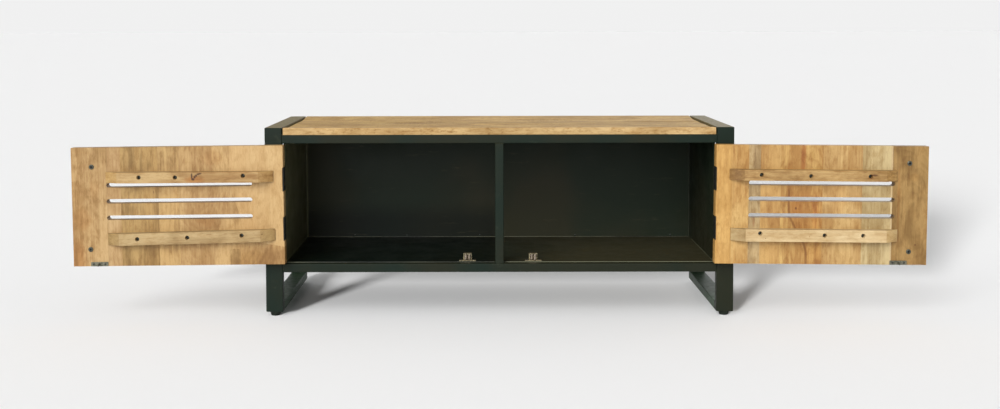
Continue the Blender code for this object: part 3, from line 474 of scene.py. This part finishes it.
def batten_line(side, level):
    """A batten's two tips in its door's frame: s at the hinge end and the free end, and h at each."""
    points = points_in(side + "_" + level + "_batten", door_frame(side))
    start, end = min(q.x for q in points), max(q.x for q in points)
    near = [q.z for q in points if q.x < start + BATTEN_BEVEL / 2]
    far = [q.z for q in points if q.x > end - BATTEN_BEVEL / 2]
    return start, end, (min(near) + max(near)) / 2, (min(far) + max(far)) / 2


TOP_BOARDS = (0.0, 0.082, 0.171, 0.246, 0.330)
TOP_LOOKS = (
    ((236, 202, 146), (198, 162, 108), 0.03, 0.02, 0.1, 0.02, 0.0, 0.90, 0.3, 1.9),
    ((240, 202, 130), (196, 156, 90), 0.12, 0.02, -0.1, 0.03, 0.0, 0.85, 0.3, 3.1),
    ((236, 198, 124), (190, 150, 84), 0.20, 0.03, 0.2, 0.03, 0.0, 0.85, 0.3, 4.9),
    ((242, 204, 132), (200, 160, 94), 0.30, 0.02, 0.0, -0.03, 0.0, 0.80, 0.3, 6.3),
    ((238, 200, 128), (196, 156, 90), 0.36, 0.03, -0.2, 0.02, 0.0, 0.80, 0.3, 8.1),
)

# Saw marks and dark streaks on the top: centre (x, distance from the front edge), radii
SAW_PATCHES = (((-0.190, 0.205), (0.130, 0.070)), ((-0.360, 0.300), (0.090, 0.050)),
               ((0.120, 0.300), (0.120, 0.050)))
TOP_STREAKS = (((-0.088, 0.165), (0.036, 0.009)), ((0.027, 0.150), (0.030, 0.008)),
               ((-0.330, 0.120), (0.050, 0.008)), ((0.210, 0.240), (0.070, 0.012)),
               ((0.330, 0.110), (0.060, 0.009)))
SAW_TINT = (0.62, 0.54, 0.44)
STREAK_TINT = (0.46, 0.36, 0.26)
FLECK_TINT = (0.56, 0.47, 0.36)
GREY_TINT = (0.84, 0.82, 0.76)


def top_wood(low):
    p = Paint("top_wood", roughness=0.6, specular=0.10)
    x, y, z = p.split(p.place())
    across = p.less(y, low.y)
    look = plank_table(p, across, [(start, board_look(*row)) for start, row in zip(TOP_BOARDS, TOP_LOOKS)])
    colour, height = wood_figure(p, across, p.less(z, low.z), x, look)
    flat = p.vector(x, across, 0.0)
    saw = p.noise(p.vector(x, p.times(across, 0.06), z), 260.0, 3.0, 0.7)
    for centre, radii in SAW_PATCHES:
        patch = p.spot(flat, (*centre, 0.0), (*radii, None), 0.5, 30.0)
        colour = p.stain(colour, p.times(p.ease(saw, 0.46, 0.62), patch), SAW_TINT, 0.60)
    for centre, radii in TOP_STREAKS:
        streak = p.spot(flat, (*centre, 0.0), (*radii, None), 0.4, 120.0)
        colour = p.stain(colour, streak, STREAK_TINT, 0.90)
    fleck = p.ease(p.noise(p.vector(p.times(x, 0.40), y, z), 210.0, 3.0, 0.7), 0.50, 0.68)
    colour = p.stain(colour, fleck, FLECK_TINT, 0.70)
    grey = p.ease(p.noise(p.vector(p.times(x, 0.12), y, z), 26.0, 3.0), 0.45, 0.65)
    colour = p.stain(colour, grey, GREY_TINT, 0.70)
    shade = joint_lines(p, across, [(edge, 0.0010, 0.72) for edge in TOP_BOARDS[1:]])
    p.colour(p.mix(1.0, colour, shade, "MULTIPLY"))
    p.rough(p.ease(height, -1.0, 0.7, *TOP_ROUGH))
    p.bump(p.add(height, p.times(p.split(shade)[0], 1.2)), 0.00025, 0.7)
    return p.material


# ------------ metal, paint and plastic

CREST = 0.436                    # height above which the top bars' faces carry dust and a painted olive sheen
CREST_Y = -0.130                 # and how far back that starts
SLED_TOP = (0.100, 0.085)        # the sleds are lighter below these heights
SLED_Y = -0.150                  # and behind the front legs
SHADE_Z = (0.235, 0.165)         # painted shade: the left half of the carcass darkens between these heights
INNER_SIDE_X = -0.5045           # a thin painted highlight runs just inside the left side panel's inner face
FLOOR_Z = 0.1257                 # just above the floor panel
FLOOR_LIT_X = (-0.05, 0.25)     # painted light: the floor panel turns lighter and browner over this width
TUBE_TONES = ((16, 29, 21), (27, 30, 18))
TUBE_SCUFF = (70, 76, 60)
TUBE_DUST_AND_SHEEN = (112, 99, 60)
TUBE_SLED = (62, 80, 62)
TUBE_WORN_AND_HIGHLIT = (92, 96, 70)
SHEET_TONES = ((27, 36, 26), (42, 42, 29))
SHEET_SHADE = (0.30, 0.36, 0.38)
SHEET_SIDE_HIGHLIGHT = (78, 78, 56)
SHEET_FLOOR_LIT = (58, 55, 38)
SHEET_RUB = (84, 80, 58)
SEAM_TONES_AND_HIGHLIGHT = ((30, 36, 29), (104, 106, 84))
BOLT_TONES = ((66, 68, 60), (96, 94, 80))
SOCKET_SHADE_TONE = (12, 12, 11)
BOLT_SOCKET = 0.0042             # radius of the painted shade that darkens a bolt head towards its socket
# Bare and blackened metals: light tone, dark tone, roughness, metallic
METALS = {
    "hinge_black": ((26, 26, 24), (44, 43, 38), 0.42, 0.3),
    "handle_black": ((34, 34, 31), (50, 49, 44), 0.48, 0.4),
    "dark_steel": ((52, 54, 50), (78, 78, 70), 0.42, 0.85),
    "strike_steel": ((116, 114, 98), (84, 84, 72), 0.45, 0.8),
    "catch_steel": ((168, 158, 128), (104, 96, 76), 0.40, 0.95),
    "roller_steel": ((170, 156, 140), (120, 106, 92), 0.32, 0.9),
}
FOOT_PLASTIC = ((20, 26, 20), (34, 40, 32), 0.62, 0.0, 160.0, 0.00010)
FOOT_SPECULAR = 0.15


def tube_paint():
    """Dark green-black paint over ground steel, thinner and browner at the worn edges, which also carry a
    painted highlight; faces that look up carry dust and a painted olive sheen.
    """
    p = Paint("tube_paint", roughness=0.45, specular=0.14)
    place = p.place()
    x, y, z = p.split(place)
    normal = p.node("ShaderNodeNewGeometry", {}).outputs["Normal"]
    broad = p.ease(p.noise(place, 5.0, 3.0), 0.38, 0.62)
    colour = p.mix(broad, *(srgb(*tone) for tone in TUBE_TONES))
    scuff = p.ease(p.noise(place, 38.0, 6.0, 0.75), 0.60, 0.74)
    colour = p.mix(p.times(scuff, 0.20), colour, srgb(*TUBE_SCUFF))
    # Dust and a painted olive sheen on faces that look up, stronger higher up, and on the top bars' crest
    high = p.ease(z, 0.20, 0.43, 0.05, 1.0)
    dust_and_sheen_breakup = p.ease(p.noise(p.vector(p.times(x, 3.0), y, 0.0), 60.0, 4.0), 0.2, 0.7, 0.75, 1.0)
    crest = p.times(p.ease(z, CREST, CREST + 0.002), p.ease(y, CREST_Y, CREST_Y + 0.01))
    upward_dust_and_sheen = p.times(p.ease(p.split(normal)[2], 0.80, 0.97), high)
    dust_and_sheen = p.times(p.sum("MAXIMUM", upward_dust_and_sheen, p.times(crest, 0.8)), dust_and_sheen_breakup)
    colour = p.mix(dust_and_sheen, colour, srgb(*TUBE_DUST_AND_SHEEN))
    sled = p.times(p.ease(z, *SLED_TOP), p.ease(y, SLED_Y, SLED_Y + 0.01))
    colour = p.mix(p.times(sled, 0.9), colour, srgb(*TUBE_SLED))
    # Worn edges, lighter and browner, that also paint in the highlight the edges catch
    edge = p.node("ShaderNodeBevel", {"Radius": 0.0016}, samples=4).outputs[0]
    turn = p.node("ShaderNodeVectorMath", {0: edge, 1: normal}, operation="DOT_PRODUCT").outputs["Value"]
    worn_and_highlit = p.times(p.ease(turn, 0.985, 0.86), p.ease(p.noise(place, 130.0, 4.0, 0.7), 0.48, 0.62))
    colour = p.mix(p.times(worn_and_highlit, 0.40), colour, srgb(*TUBE_WORN_AND_HIGHLIT))
    p.colour(colour)
    p.rough(p.ease(p.noise(place, 90.0, 4.0, 0.6), 0.3, 0.7, 0.38, 0.54))
    peel = p.add(p.noise(place, 900.0, 2.0), p.times(p.noise(place, 110.0, 2.0), 0.8))
    p.bump(peel, 0.00016, 0.5)
    return p.material


def sheet_paint():
    """The same paint on the carcass, with painted shade in the left half, painted light that makes the
    right half's floor browner, and a thin painted highlight by the left side panel's inner face.
    """
    p = Paint("sheet_paint", roughness=0.4, specular=0.10)
    place = p.place()
    broad = p.ease(p.noise(place, 3.2, 2.0), 0.38, 0.62)
    colour = p.mix(broad, *(srgb(*tone) for tone in SHEET_TONES))
    x, y, z = p.split(place)
    # Painted shade on the lower left half of the carcass
    low = p.times(p.ease(z, *SHADE_Z), p.ease(x, 0.02, -0.02))
    colour = p.stain(colour, low, SHEET_SHADE)
    # Painted highlight: a thin lighter band just inside the left side panel's inner face
    side = p.times(p.ease(x, INNER_SIDE_X + 0.004, INNER_SIDE_X),
                   p.ease(x, INNER_SIDE_X - 0.0024, INNER_SIDE_X - 0.0020))
    colour = p.mix(side, colour, srgb(*SHEET_SIDE_HIGHLIGHT))
    # Painted light on the right half of the floor panel, lighter and browner
    floor = p.times(p.ease(z, FLOOR_Z + 0.001, FLOOR_Z), p.ease(x, *FLOOR_LIT_X))
    colour = p.mix(floor, colour, srgb(*SHEET_FLOOR_LIT))
    rub = p.noise(p.vector(p.times(x, 0.25), y, p.times(z, 2.0)), 60.0, 5.0, 0.7)
    colour = p.mix(p.times(p.ease(rub, 0.60, 0.74), 0.20), colour, srgb(*SHEET_RUB))
    p.colour(colour)
    p.rough(p.ease(p.noise(place, 14.0, 4.0, 0.6), 0.3, 0.7, 0.30, 0.46))
    p.bump(p.add(p.noise(place, 700.0, 2.0), p.times(p.noise(place, 9.0, 2.0), 4.0)), 0.00012, 0.5)
    return p.material


def seam_sealant_and_highlight():
    p = Paint("seam_sealant_and_highlight", roughness=0.4, specular=0.4)
    place = p.place()
    # Dark sealant, with long lighter runs that paint in the highlight the seams catch
    sealant_and_highlight_run = p.ease(p.noise(place, 4.0, 3.0), 0.40, 0.62)
    p.colour(p.mix(sealant_and_highlight_run, *(srgb(*tone) for tone in SEAM_TONES_AND_HIGHLIGHT)))
    p.rough(p.ease(p.noise(place, 200.0, 3.0), 0.3, 0.7, 0.30, 0.50))
    p.bump(p.noise(place, 800.0, 3.0), 0.00010, 0.5)
    return p.material


def metal(name, light, dark, roughness, metallic, scale=240.0, bump=0.00005):
    p = Paint(name, roughness, metallic)
    place = p.place()
    wear = p.ease(p.noise(place, scale, 5.0, 0.65), 0.38, 0.66)
    p.colour(p.mix(wear, srgb(*light), srgb(*dark)))
    p.rough(p.ease(p.noise(place, scale * 1.7, 3.0), 0.3, 0.7, roughness - 0.08, roughness + 0.12))
    p.bump(p.noise(place, scale * 4.0, 3.0), bump, 0.6)
    return p.material


def bolt_steel(side):
    """Blackened bolt heads: painted shade for a socket in the middle, and a rim rubbed bright."""
    p = Paint(side + "_bolt_steel", roughness=0.45, metallic=0.6)
    place = p.place(door_frame(side).inverted())
    s, d, h = p.split(place)
    flat = p.vector(s, 0.0, h)
    wear = p.ease(p.noise(place, 420.0, 4.0, 0.6), 0.40, 0.66)
    colour = p.mix(wear, *(srgb(*tone) for tone in BOLT_TONES))
    for node in NODES:
        if node.startswith(side) and node.endswith("_handle_bolt"):
            low, high = box_in(node, door_frame(side))
            centre = ((low.x + high.x) / 2, 0.0, (low.z + high.z) / 2)
            # Painted shade where the socket would be
            socket = p.spot(flat, centre, (BOLT_SOCKET, None, BOLT_SOCKET), 0.05)
            colour = p.mix(socket, colour, srgb(*SOCKET_SHADE_TONE))
    p.colour(colour)
    p.rough(p.ease(p.noise(place, 500.0, 3.0), 0.3, 0.7, 0.38, 0.60))
    p.bump(p.noise(place, 1600.0, 3.0), 0.00006, 0.6)
    return p.material


# ------------ mesh tools

def add_object(name, data):
    made = bpy.data.objects.new(name, data)
    bpy.context.scene.collection.objects.link(made)
    return made


def mesh_from(name, bm):
    mesh = bpy.data.meshes.new(name)
    bm.to_mesh(mesh)
    bm.free()
    return mesh


def mesh_object(name, bm, material, body):
    bmesh.ops.recalc_face_normals(bm, faces=bm.faces)
    mesh = mesh_from(name, bm)
    mesh.shade_smooth()
    mesh.set_sharp_from_angle(angle=SMOOTH_ANGLE)
    mesh.materials.append(material)
    made = add_object(name, mesh)
    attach(made, body)
    return made


def spin_profile(bm, profile, steps=24):
    """A turned shape about local Z, added to a bmesh. profile lists (radius, height)."""
    verts = [bm.verts.new((radius, 0.0, z)) for radius, z in profile]
    edges = [bm.edges.new(pair) for pair in zip(verts, verts[1:])]
    bmesh.ops.spin(bm, geom=verts + edges, cent=(0, 0, 0), axis=(0, 0, 1), angle=math.tau, steps=steps)
    bmesh.ops.remove_doubles(bm, verts=bm.verts, dist=MERGE)


FLAT_ANGLE = math.radians(0.5)   # faces that meet at less are one face
CORNER_ANGLE = math.radians(40)  # edges sharper than this are eased


def soften(node, width):
    """Eased edges on a carried-over CAD piece: its own shape with its corners rounded."""
    obj = NODES[node]
    weld = obj.modifiers.new("weld", "WELD")
    weld.merge_threshold = MERGE
    flat = obj.modifiers.new("flat", "DECIMATE")
    flat.decimate_type = "DISSOLVE"
    flat.angle_limit = FLAT_ANGLE
    round_off = obj.modifiers.new("ease", "BEVEL")
    round_off.width = width
    round_off.segments = 2
    round_off.limit_method = "ANGLE"
    round_off.angle_limit = CORNER_ANGLE
    obj.modifiers.new("shade", "WEIGHTED_NORMAL")


def dress(node, material, width=None):
    """Gives a CAD piece its material and, where a width is given, eased edges."""
    NODES[node].data.materials.clear()
    NODES[node].data.materials.append(material)
    if width is not None:
        soften(node, width)


# ------------ screws

# Screw heads: radius, height and half length of the cross
WOOD_SCREW = (0.0042, 0.0016, 0.0024)
LEAF_SCREW = (0.0027, 0.0010, 0.0015)
SMALL_SCREW = (0.0024, 0.0011, 0.0013)
HEAD_STEPS = 5
HEAD_RIM = 0.35                  # share of the height at which the dome starts


def screw_head_mesh(name, material, radius, height, recess):
    """A domed head with a cross recess. It stands on z = 0 and faces +Z."""
    bm = bmesh.new()
    angles = [math.pi / 2 * i / HEAD_STEPS for i in range(HEAD_STEPS + 1)]
    arc = [(radius * math.sin(a), height * (HEAD_RIM + (1 - HEAD_RIM) * math.cos(a))) for a in angles]
    spin_profile(bm, arc + [(radius, 0.0), (0.0, 0.0)])
    bmesh.ops.recalc_face_normals(bm, faces=bm.faces)
    obj = add_object(name, mesh_from(name, bm))
    cutter_bm = bmesh.new()
    for turn in (0.0, math.pi / 2):
        arm = bmesh.ops.create_cube(cutter_bm, size=1.0)["verts"]
        bmesh.ops.scale(cutter_bm, vec=(recess * 2, recess * 0.5, height * 1.4), verts=arm)
        for v in arm:
            if v.co.z < 0:
                v.co.x *= 0.55
        bmesh.ops.translate(cutter_bm, vec=(0, 0, height * 1.05), verts=arm)
        bmesh.ops.rotate(cutter_bm, cent=(0, 0, 0), matrix=Matrix.Rotation(turn, 3, "Z"), verts=arm)
    cutter = add_object(name + "_cross", mesh_from(name + "_cross", cutter_bm))
    step = obj.modifiers.new("recess", "BOOLEAN")
    step.operation = "DIFFERENCE"
    step.solver = "EXACT"
    step.use_self = True
    step.object = cutter
    done = bpy.data.meshes.new_from_object(obj.evaluated_get(bpy.context.evaluated_depsgraph_get()))
    for o in (obj, cutter):
        bpy.data.objects.remove(o, do_unlink=True)
    done.name = name
    done.materials.clear()
    done.materials.append(material)
    done.shade_smooth()
    done.set_sharp_from_angle(angle=SMOOTH_ANGLE)
    return done


def put_screw(name, mesh, place, body):
    made = add_object(name, mesh)
    made.matrix_world = place
    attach(made, body)


def facing(point, direction, spin):
    """A place at a point whose +Z looks along a direction, turned about it."""
    turn = Vector(direction).to_track_quat("Z", "Y").to_matrix().to_4x4()
    return Matrix.Translation(point) @ turn @ Matrix.Rotation(spin, 4, "Z")


# Screw places, as in the CAD. On the battens: s and the rise above the middle line
BATTEN_SCREWS = {
    "left_upper": ((0.330, 0.0010), (0.246, 0.0005), (0.089, 0.0035)),
    "left_lower": ((0.337, 0.0005), (0.221, 0.0010), (0.095, 0.0025)),
    "right_upper": ((0.101, 0.0010), (0.215, -0.0010), (0.352, -0.0005)),
    "right_lower": ((0.100, 0.0050), (0.249, 0.0015), (0.338, 0.0015)),
}
LEAF_SCREW_Z = 0.018
LEAF_SCREW_Y = 0.0155
LEAF_SCREW_SINK = 0.0009
STRIKE_SCREW_STEP = 0.0135
CATCH_SCREW_STEP = 0.01465


def all_screws(material):
    turns = random.Random(SEED)
    wood_head = screw_head_mesh("wood_screw", material, *WOOD_SCREW)
    leaf_head = screw_head_mesh("leaf_screw", material, *LEAF_SCREW)
    small_head = screw_head_mesh("small_screw", material, *SMALL_SCREW)

    def put(name, head, point, direction, body):
        put_screw(name, head, facing(point, direction, turns.uniform(0, math.pi)), body)

    for side, sign in SIDES.items():
        out = door_frame(side)
        closed = swing(side)
        body = side + "_door"
        inward = (out.to_3x3() @ Vector((0, 1, 0))).normalized()
        for level in ("upper", "lower"):
            name = side + "_" + level + "_batten"
            start, end, h_start, h_end = batten_line(side, level)
            face = box_in(name, out)[1].y
            for i, (s, rise) in enumerate(BATTEN_SCREWS[side + "_" + level]):
                h = h_start + (h_end - h_start) * (s - start) / (end - start) + rise
                point = out @ Vector((s, face - COUNTERBORE_DEPTH, h))
                put("%s_screw_%d" % (name, i + 1), wood_head, point, inward, body)
        hinge = JOINTS[side + "_door_hinge"]
        axis = Vector(hinge["axis"])
        lean = Matrix.Rotation(sign * math.asin(abs(axis.x)), 4, "Y")
        for level in ("upper", "lower"):
            node = side + "_" + level + "_hinge_door_leaf"
            low, high = box_in(node, closed)
            pivot = Vector(hinge["pos_m"])
            pivot += axis * (((low.z + high.z) / 2 - pivot.z) / axis.z)
            place = Matrix.Translation(pivot) @ lean
            points = [place.inverted() @ q for q in points_in(node, closed)]
            outer = max(abs(q.x) for q in points if q.y > LEAF_SCREW_Y)
            outward = (closed @ place).to_3x3() @ Vector((sign, 0, 0))
            for i, z in enumerate((-LEAF_SCREW_Z, LEAF_SCREW_Z)):
                point = closed @ place @ Vector((sign * (outer - LEAF_SCREW_SINK), LEAF_SCREW_Y, z))
                put("%s_%s_leaf_screw_%d" % (side, level, i + 1), leaf_head, point, outward, body)
        low, high = box_in(side + "_strike", closed)
        middle = (low + high) / 2
        for i, way in enumerate((-1, 1)):
            point = closed @ Vector((middle.x + way * STRIKE_SCREW_STEP, low.y + STRIKE_THICK, middle.z))
            put("%s_strike_screw_%d" % (side, i + 1), small_head, point, inward, body)
        low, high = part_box(side + "_catch_body")
        middle = (low + high) / 2
        for i, way in enumerate((-1, 1)):
            point = Vector((middle.x + way * CATCH_SCREW_STEP, middle.y, low.z + CATCH_SHEET))
            put("%s_catch_screw_%d" % (side, i + 1), small_head, point, (0, 0, 1), "cabinet")


# ------------ wooden top

TOP_DISH = 0.0048                # how far the boards' surface sinks between front and back
DISH_RUN = (0.16, 0.22)          # share of the depth over which it sinks, from the front and the back
TOP_SWELL = 0.0003               # slow rise and fall along each board
TOP_SWELL_RATE = 9.0
GROOVE = 0.0007                  # depth of the open joints between boards
GROOVE_HALF = 0.0006
TOP_STEPS_X = 70
TOP_LINES_Y = 44


def top_dip(t):
    """Share of the dish at t from the front (0) to the back (1)."""
    front = min(1.0, t / DISH_RUN[0])
    back = min(1.0, (1.0 - t) / DISH_RUN[1])
    return (front * front * (3 - 2 * front)) * (back * back * (3 - 2 * back))


def wooden_top():
    """Glued boards, dished by wear and planing, with eased edges and open joints."""
    low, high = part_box("wood_top")
    depth = high.y - low.y
    rng = random.Random(SEED)
    ys = sorted({i / TOP_LINES_Y * depth for i in range(TOP_LINES_Y + 1)}
                | {EASE, depth - EASE}
                | {edge + o for edge in TOP_BOARDS[1:] for o in (-GROOVE_HALF, 0.0, GROOVE_HALF)})
    xs = [low.x, low.x + EASE] + [low.x + (high.x - low.x) * i / TOP_STEPS_X for i in range(1, TOP_STEPS_X)]
    xs += [high.x - EASE, high.x]
    phases = [rng.uniform(0, math.tau) for _ in TOP_BOARDS]
    bm = bmesh.new()
    rows = []
    for y in ys:
        board = max(i for i, edge in enumerate(TOP_BOARDS) if y >= edge - MERGE)
        groove = any(abs(y - edge) < MERGE for edge in TOP_BOARDS[1:])
        row = []
        for x in xs:
            z = high.z - TOP_DISH * top_dip(y / depth)
            z -= TOP_SWELL * (1 + math.sin(x * TOP_SWELL_RATE + phases[board])) * top_dip(y / depth)
            if groove:
                z -= GROOVE
            if y in (ys[0], ys[-1]) or x in (low.x, high.x):
                z -= EASE
            row.append(bm.verts.new((x, low.y + y, z)))
        rows.append(row)
    for a, b in zip(rows, rows[1:]):
        for i in range(len(xs) - 1):
            bm.faces.new((a[i], a[i + 1], b[i + 1], b[i]))
    rim = rows[0] + [r[-1] for r in rows[1:]] + rows[-1][-2::-1] + [r[0] for r in rows[-2:0:-1]]
    base = [bm.verts.new((v.co.x, v.co.y, low.z)) for v in rim]
    for i in range(len(rim)):
        j = (i + 1) % len(rim)
        bm.faces.new((rim[i], base[i], base[j], rim[j]))
    bm.faces.new(base)
    made = mesh_object("wood_top_boards", bm, top_wood(low), "cabinet")
    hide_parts("wood_top")


# ------------ weld beads

BEAD_RADIUS = 0.0016
BEAD_STEP = 0.0012
BEAD_SIDES = 8
BEAD_INSET = 0.002               # how far a bead stops short of the tube's faces


def bead(bm, start, end, rng, size=BEAD_RADIUS):
    """A rippled bead of weld along a straight corner, sunk half into both faces."""
    start, end = Vector(start), Vector(end)
    run = end - start
    count = max(4, int(run.length / BEAD_STEP))
    turn = run.to_track_quat("Z", "Y").to_matrix()
    rings = []
    for i in range(count + 1):
        t = i / count
        taper = 0.35 if i in (0, count) else 1.0
        radius = size * taper * (0.86 + 0.14 * math.cos(i * math.pi) + rng.uniform(-0.08, 0.08))
        middle = start + run * t
        ring = []
        for k in range(BEAD_SIDES):
            a = math.tau * k / BEAD_SIDES
            spoke = Vector((radius * math.cos(a), radius * math.sin(a), 0))
            ring.append(bm.verts.new(middle + turn @ spoke))
        rings.append(ring)
    for a, b in zip(rings, rings[1:]):
        for k in range(BEAD_SIDES):
            n = (k + 1) % BEAD_SIDES
            bm.faces.new((a[k], a[n], b[n], b[k]))
    bm.faces.new(rings[0][::-1])
    bm.faces.new(rings[-1])


def beads_along(bm, axis, low, high, corners, rng):
    """Beads that run along X (0) or Y (1) between two bounds, one for each pair of the other two values."""
    for a, b in corners:
        ends = []
        for run in (low[axis] + BEAD_INSET, high[axis] - BEAD_INSET):
            ends.append((run, a, b) if axis == 0 else (a, run, b))
        bead(bm, *ends, rng)


def weld_beads(material):
    """Beads where the rails meet the legs and the post meets the rails, on the sides that aren't ground."""
    rng = random.Random(SEED)
    bm = bmesh.new()
    for node in ("front_top_rail", "front_bottom_rail", "rear_top_rail", "rear_bottom_rail", "centre_post"):
        low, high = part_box(node)
        beads_along(bm, 1, low, high, [(x, z) for x in (low.x, high.x) for z in (low.z, high.z)], rng)
    for side in SIDES:
        low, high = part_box(side + "_bottom_side_rail")
        beads_along(bm, 0, low, high, [(y, high.z) for y in (low.y, high.y)], rng)
        low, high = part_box(side + "_front_leg")
        levels = (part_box(side + "_sled_bar")[1].z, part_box(side + "_top_bar")[0].z)
        faces = (high.y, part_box(side + "_rear_leg")[0].y)
        beads_along(bm, 0, low, high, [(y, z) for y in faces for z in levels], rng)
    return mesh_object("weld_beads", bm, material, "cabinet")


# ------------ rivets and seams of the carcass

RIVET_X = (-0.379, -0.241, -0.049, 0.2045, 0.456)
RIVET_RISE = 0.0030              # centre above the floor panel
RIVET_DOME = ((0.0, 0.0010), (0.0012, 0.0009), (0.0022, 0.0006), (0.0028, 0.0001), (0.0028, -0.0002),
              (0.0021, -0.0002), (0.0021, -0.0012), (0.0, -0.0012))
SEAM_RADIUS = 0.0007
FRONT_SEAM = 1.2                 # thickness of the front and the upright seams, as shares of the others'
UPRIGHT_SEAM = 0.8


def carcass_trim(rivet_material, seam_material):
    """Dark rivets along the back panel's foot, and sealed seams where the sheets meet, whose lighter runs
    are a painted highlight.
    """
    floor_low, floor_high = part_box("floor_panel")
    back_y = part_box("back_panel")[0].y
    face = Matrix.Rotation(math.pi / 2, 4, "X")
    for i, x in enumerate(RIVET_X):
        bm = bmesh.new()
        spin_profile(bm, RIVET_DOME, 16)
        bmesh.ops.transform(bm, verts=bm.verts,
                            matrix=Matrix.Translation((x, back_y, floor_high.z + RIVET_RISE)) @ face)
        mesh_object("back_rivet_%d" % (i + 1), bm, rivet_material, "cabinet")
    bm = bmesh.new()
    rng = random.Random(SEED)
    low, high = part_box("left_side_panel")
    left, front, top = high.x, low.y, high.z
    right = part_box("right_side_panel")[0].x
    z = floor_high.z
    bead(bm, (left, back_y, z), (right, back_y, z), rng, SEAM_RADIUS)
    lip = (floor_low.y, floor_low.z)
    bead(bm, (left, *lip), (right, *lip), rng, SEAM_RADIUS * FRONT_SEAM)
    for x in (left, right):
        bead(bm, (x, front, z), (x, back_y, z), rng, SEAM_RADIUS)
        bead(bm, (x, back_y, z), (x, back_y, top), rng, SEAM_RADIUS * UPRIGHT_SEAM)
    mesh_object("carcass_seams", bm, seam_material, "cabinet")


# ------------ dress the pieces

def dress_all():
    tube = tube_paint()
    sheet = sheet_paint()
    metals = {name: metal(name, *values) for name, values in METALS.items()}
    plastic = metal("foot_plastic", *FOOT_PLASTIC)
    plastic.node_tree.nodes["Principled BSDF"].inputs["Specular IOR Level"].default_value = FOOT_SPECULAR
    rules = (                    # endings of the nodes' names, material, width of the eased edges
        (("_leg", "_bar", "_rail", "centre_post"), tube, 0.0005),
        (("floor_panel", "back_panel", "side_panel"), sheet, 0.0004),
        (("_leaf",), metals["hinge_black"], None),
        (("_handle",), metals["handle_black"], None),
        (("_pin", "_top_screw"), metals["dark_steel"], None),
        (("_strike",), metals["strike_steel"], 0.0003),
        (("_catch_body",), metals["catch_steel"], 0.0003),
        (("_roller_inner", "_roller_outer"), metals["roller_steel"], None),
        (("_foot",), plastic, None),
    )
    for name in NODES:
        for endings, material, width in rules:
            if name.endswith(endings):
                dress(name, material, width)
    for side in SIDES:
        bolts = bolt_steel(side)
        dress(side + "_door_panel", door_wood(side), EASE)
        for level in ("upper", "lower"):
            dress(side + "_" + level + "_handle_bolt", bolts)
            dress(side + "_" + level + "_batten", batten_wood(side, level), BATTEN_EASE)
    wooden_top()
    weld_beads(tube)
    carcass_trim(plastic, seam_sealant_and_highlight())
    all_screws(metals["dark_steel"])


# ------------ floor, light and camera

BACKGROUND = 0.875               # brightness of the backdrop, linear
AMBIENT = 0.42                   # light from all around
FLOOR_ALBEDO = 0.905
FLOOR_HALF = 4000.0
LENS = 45.104
SENSOR = 36.0
CAMERA_BACK = 2.9233             # in front of the frame's front face
CAMERA_X = -0.0303
CAMERA_Z = 0.6700
CAMERA_PITCH = math.radians(2.752)
CAMERA_YAW = math.radians(0.158)
CAMERA_ROLL = math.radians(-0.129)
CAMERA_SHIFT = (0.0172, -0.1131)
# Suns: the way their light travels, strength, angular size in degrees, what they light (None: everything)
SUNS = {
    "key": ((0.75, 1.20, -1.00), 0.80, 30, None),
    "key_on_object": ((0.75, 1.20, -1.00), 1.00, 30, "object"),
    "front_on_object": ((0.20, 1.00, -0.35), 1.90, 35, "object"),
    "back_on_object": ((-0.35, -1.00, -0.75), 0.70, 50, "object"),
    "low_on_floor": ((0.43, 1.00, -0.20), 7.10, 8, "floor"),
}


def studio():
    bm = bmesh.new()
    bmesh.ops.create_grid(bm, x_segments=8, y_segments=8, size=FLOOR_HALF)
    floor = add_object("studio_floor", mesh_from("studio_floor", bm))
    p = Paint("studio_floor", roughness=0.9, specular=0.0)
    p.colour(p.mix(p.noise(p.place(), 2.0), (FLOOR_ALBEDO,) * 3, (FLOOR_ALBEDO * 0.995,) * 3))
    floor.data.materials.append(p.material)

    world = bpy.data.worlds.new("studio")
    bpy.context.scene.world = world
    world.use_nodes = True
    tree = world.node_tree
    tree.nodes.clear()
    output = tree.nodes.new("ShaderNodeOutputWorld")
    blend = tree.nodes.new("ShaderNodeMixShader")
    path = tree.nodes.new("ShaderNodeLightPath")
    tree.links.new(path.outputs["Is Camera Ray"], blend.inputs[0])
    for i, grey in ((1, AMBIENT), (2, BACKGROUND)):
        ground = tree.nodes.new("ShaderNodeBackground")
        ground.inputs[0].default_value = (grey, grey, grey, 1.0)
        tree.links.new(ground.outputs[0], blend.inputs[i])
    tree.links.new(blend.outputs[0], output.inputs[0])

    lit = {None: None}
    for what in ("floor", "object"):
        lit[what] = bpy.data.collections.new(what + "_light")
        lit[what].objects.link(floor)
    lit["object"].collection_objects[0].light_linking.link_state = "EXCLUDE"
    for name, (direction, strength, degrees, what) in SUNS.items():
        add_sun(name, direction, strength, math.radians(degrees), lit[what])
    bpy.context.scene.view_settings.view_transform = "Standard"


def add_sun(name, direction, strength, angle, receivers):
    """A distant light. receivers is the collection that says what it lights."""
    light = bpy.data.lights.new(name, "SUN")
    light.energy = strength
    light.angle = angle
    obj = add_object(name, light)
    obj.rotation_mode = "QUATERNION"
    obj.rotation_quaternion = Vector(direction).to_track_quat("-Z", "Y")
    if receivers is not None:
        obj.light_linking.receiver_collection = receivers


def camera():
    data = bpy.data.cameras.new("camera")
    data.lens = LENS
    data.sensor_width = SENSOR
    data.shift_x, data.shift_y = CAMERA_SHIFT
    made = add_object("camera", data)
    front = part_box("centre_post")[0].y
    look = Matrix.Rotation(CAMERA_YAW, 4, "Z") @ Matrix.Rotation(math.pi / 2 - CAMERA_PITCH, 4, "X")
    made.matrix_world = (Matrix.Translation((CAMERA_X, front - CAMERA_BACK, CAMERA_Z)) @ look
                         @ Matrix.Rotation(CAMERA_ROLL, 4, "Z"))
    bpy.context.scene.camera = made


camera()
dress_all()
studio()
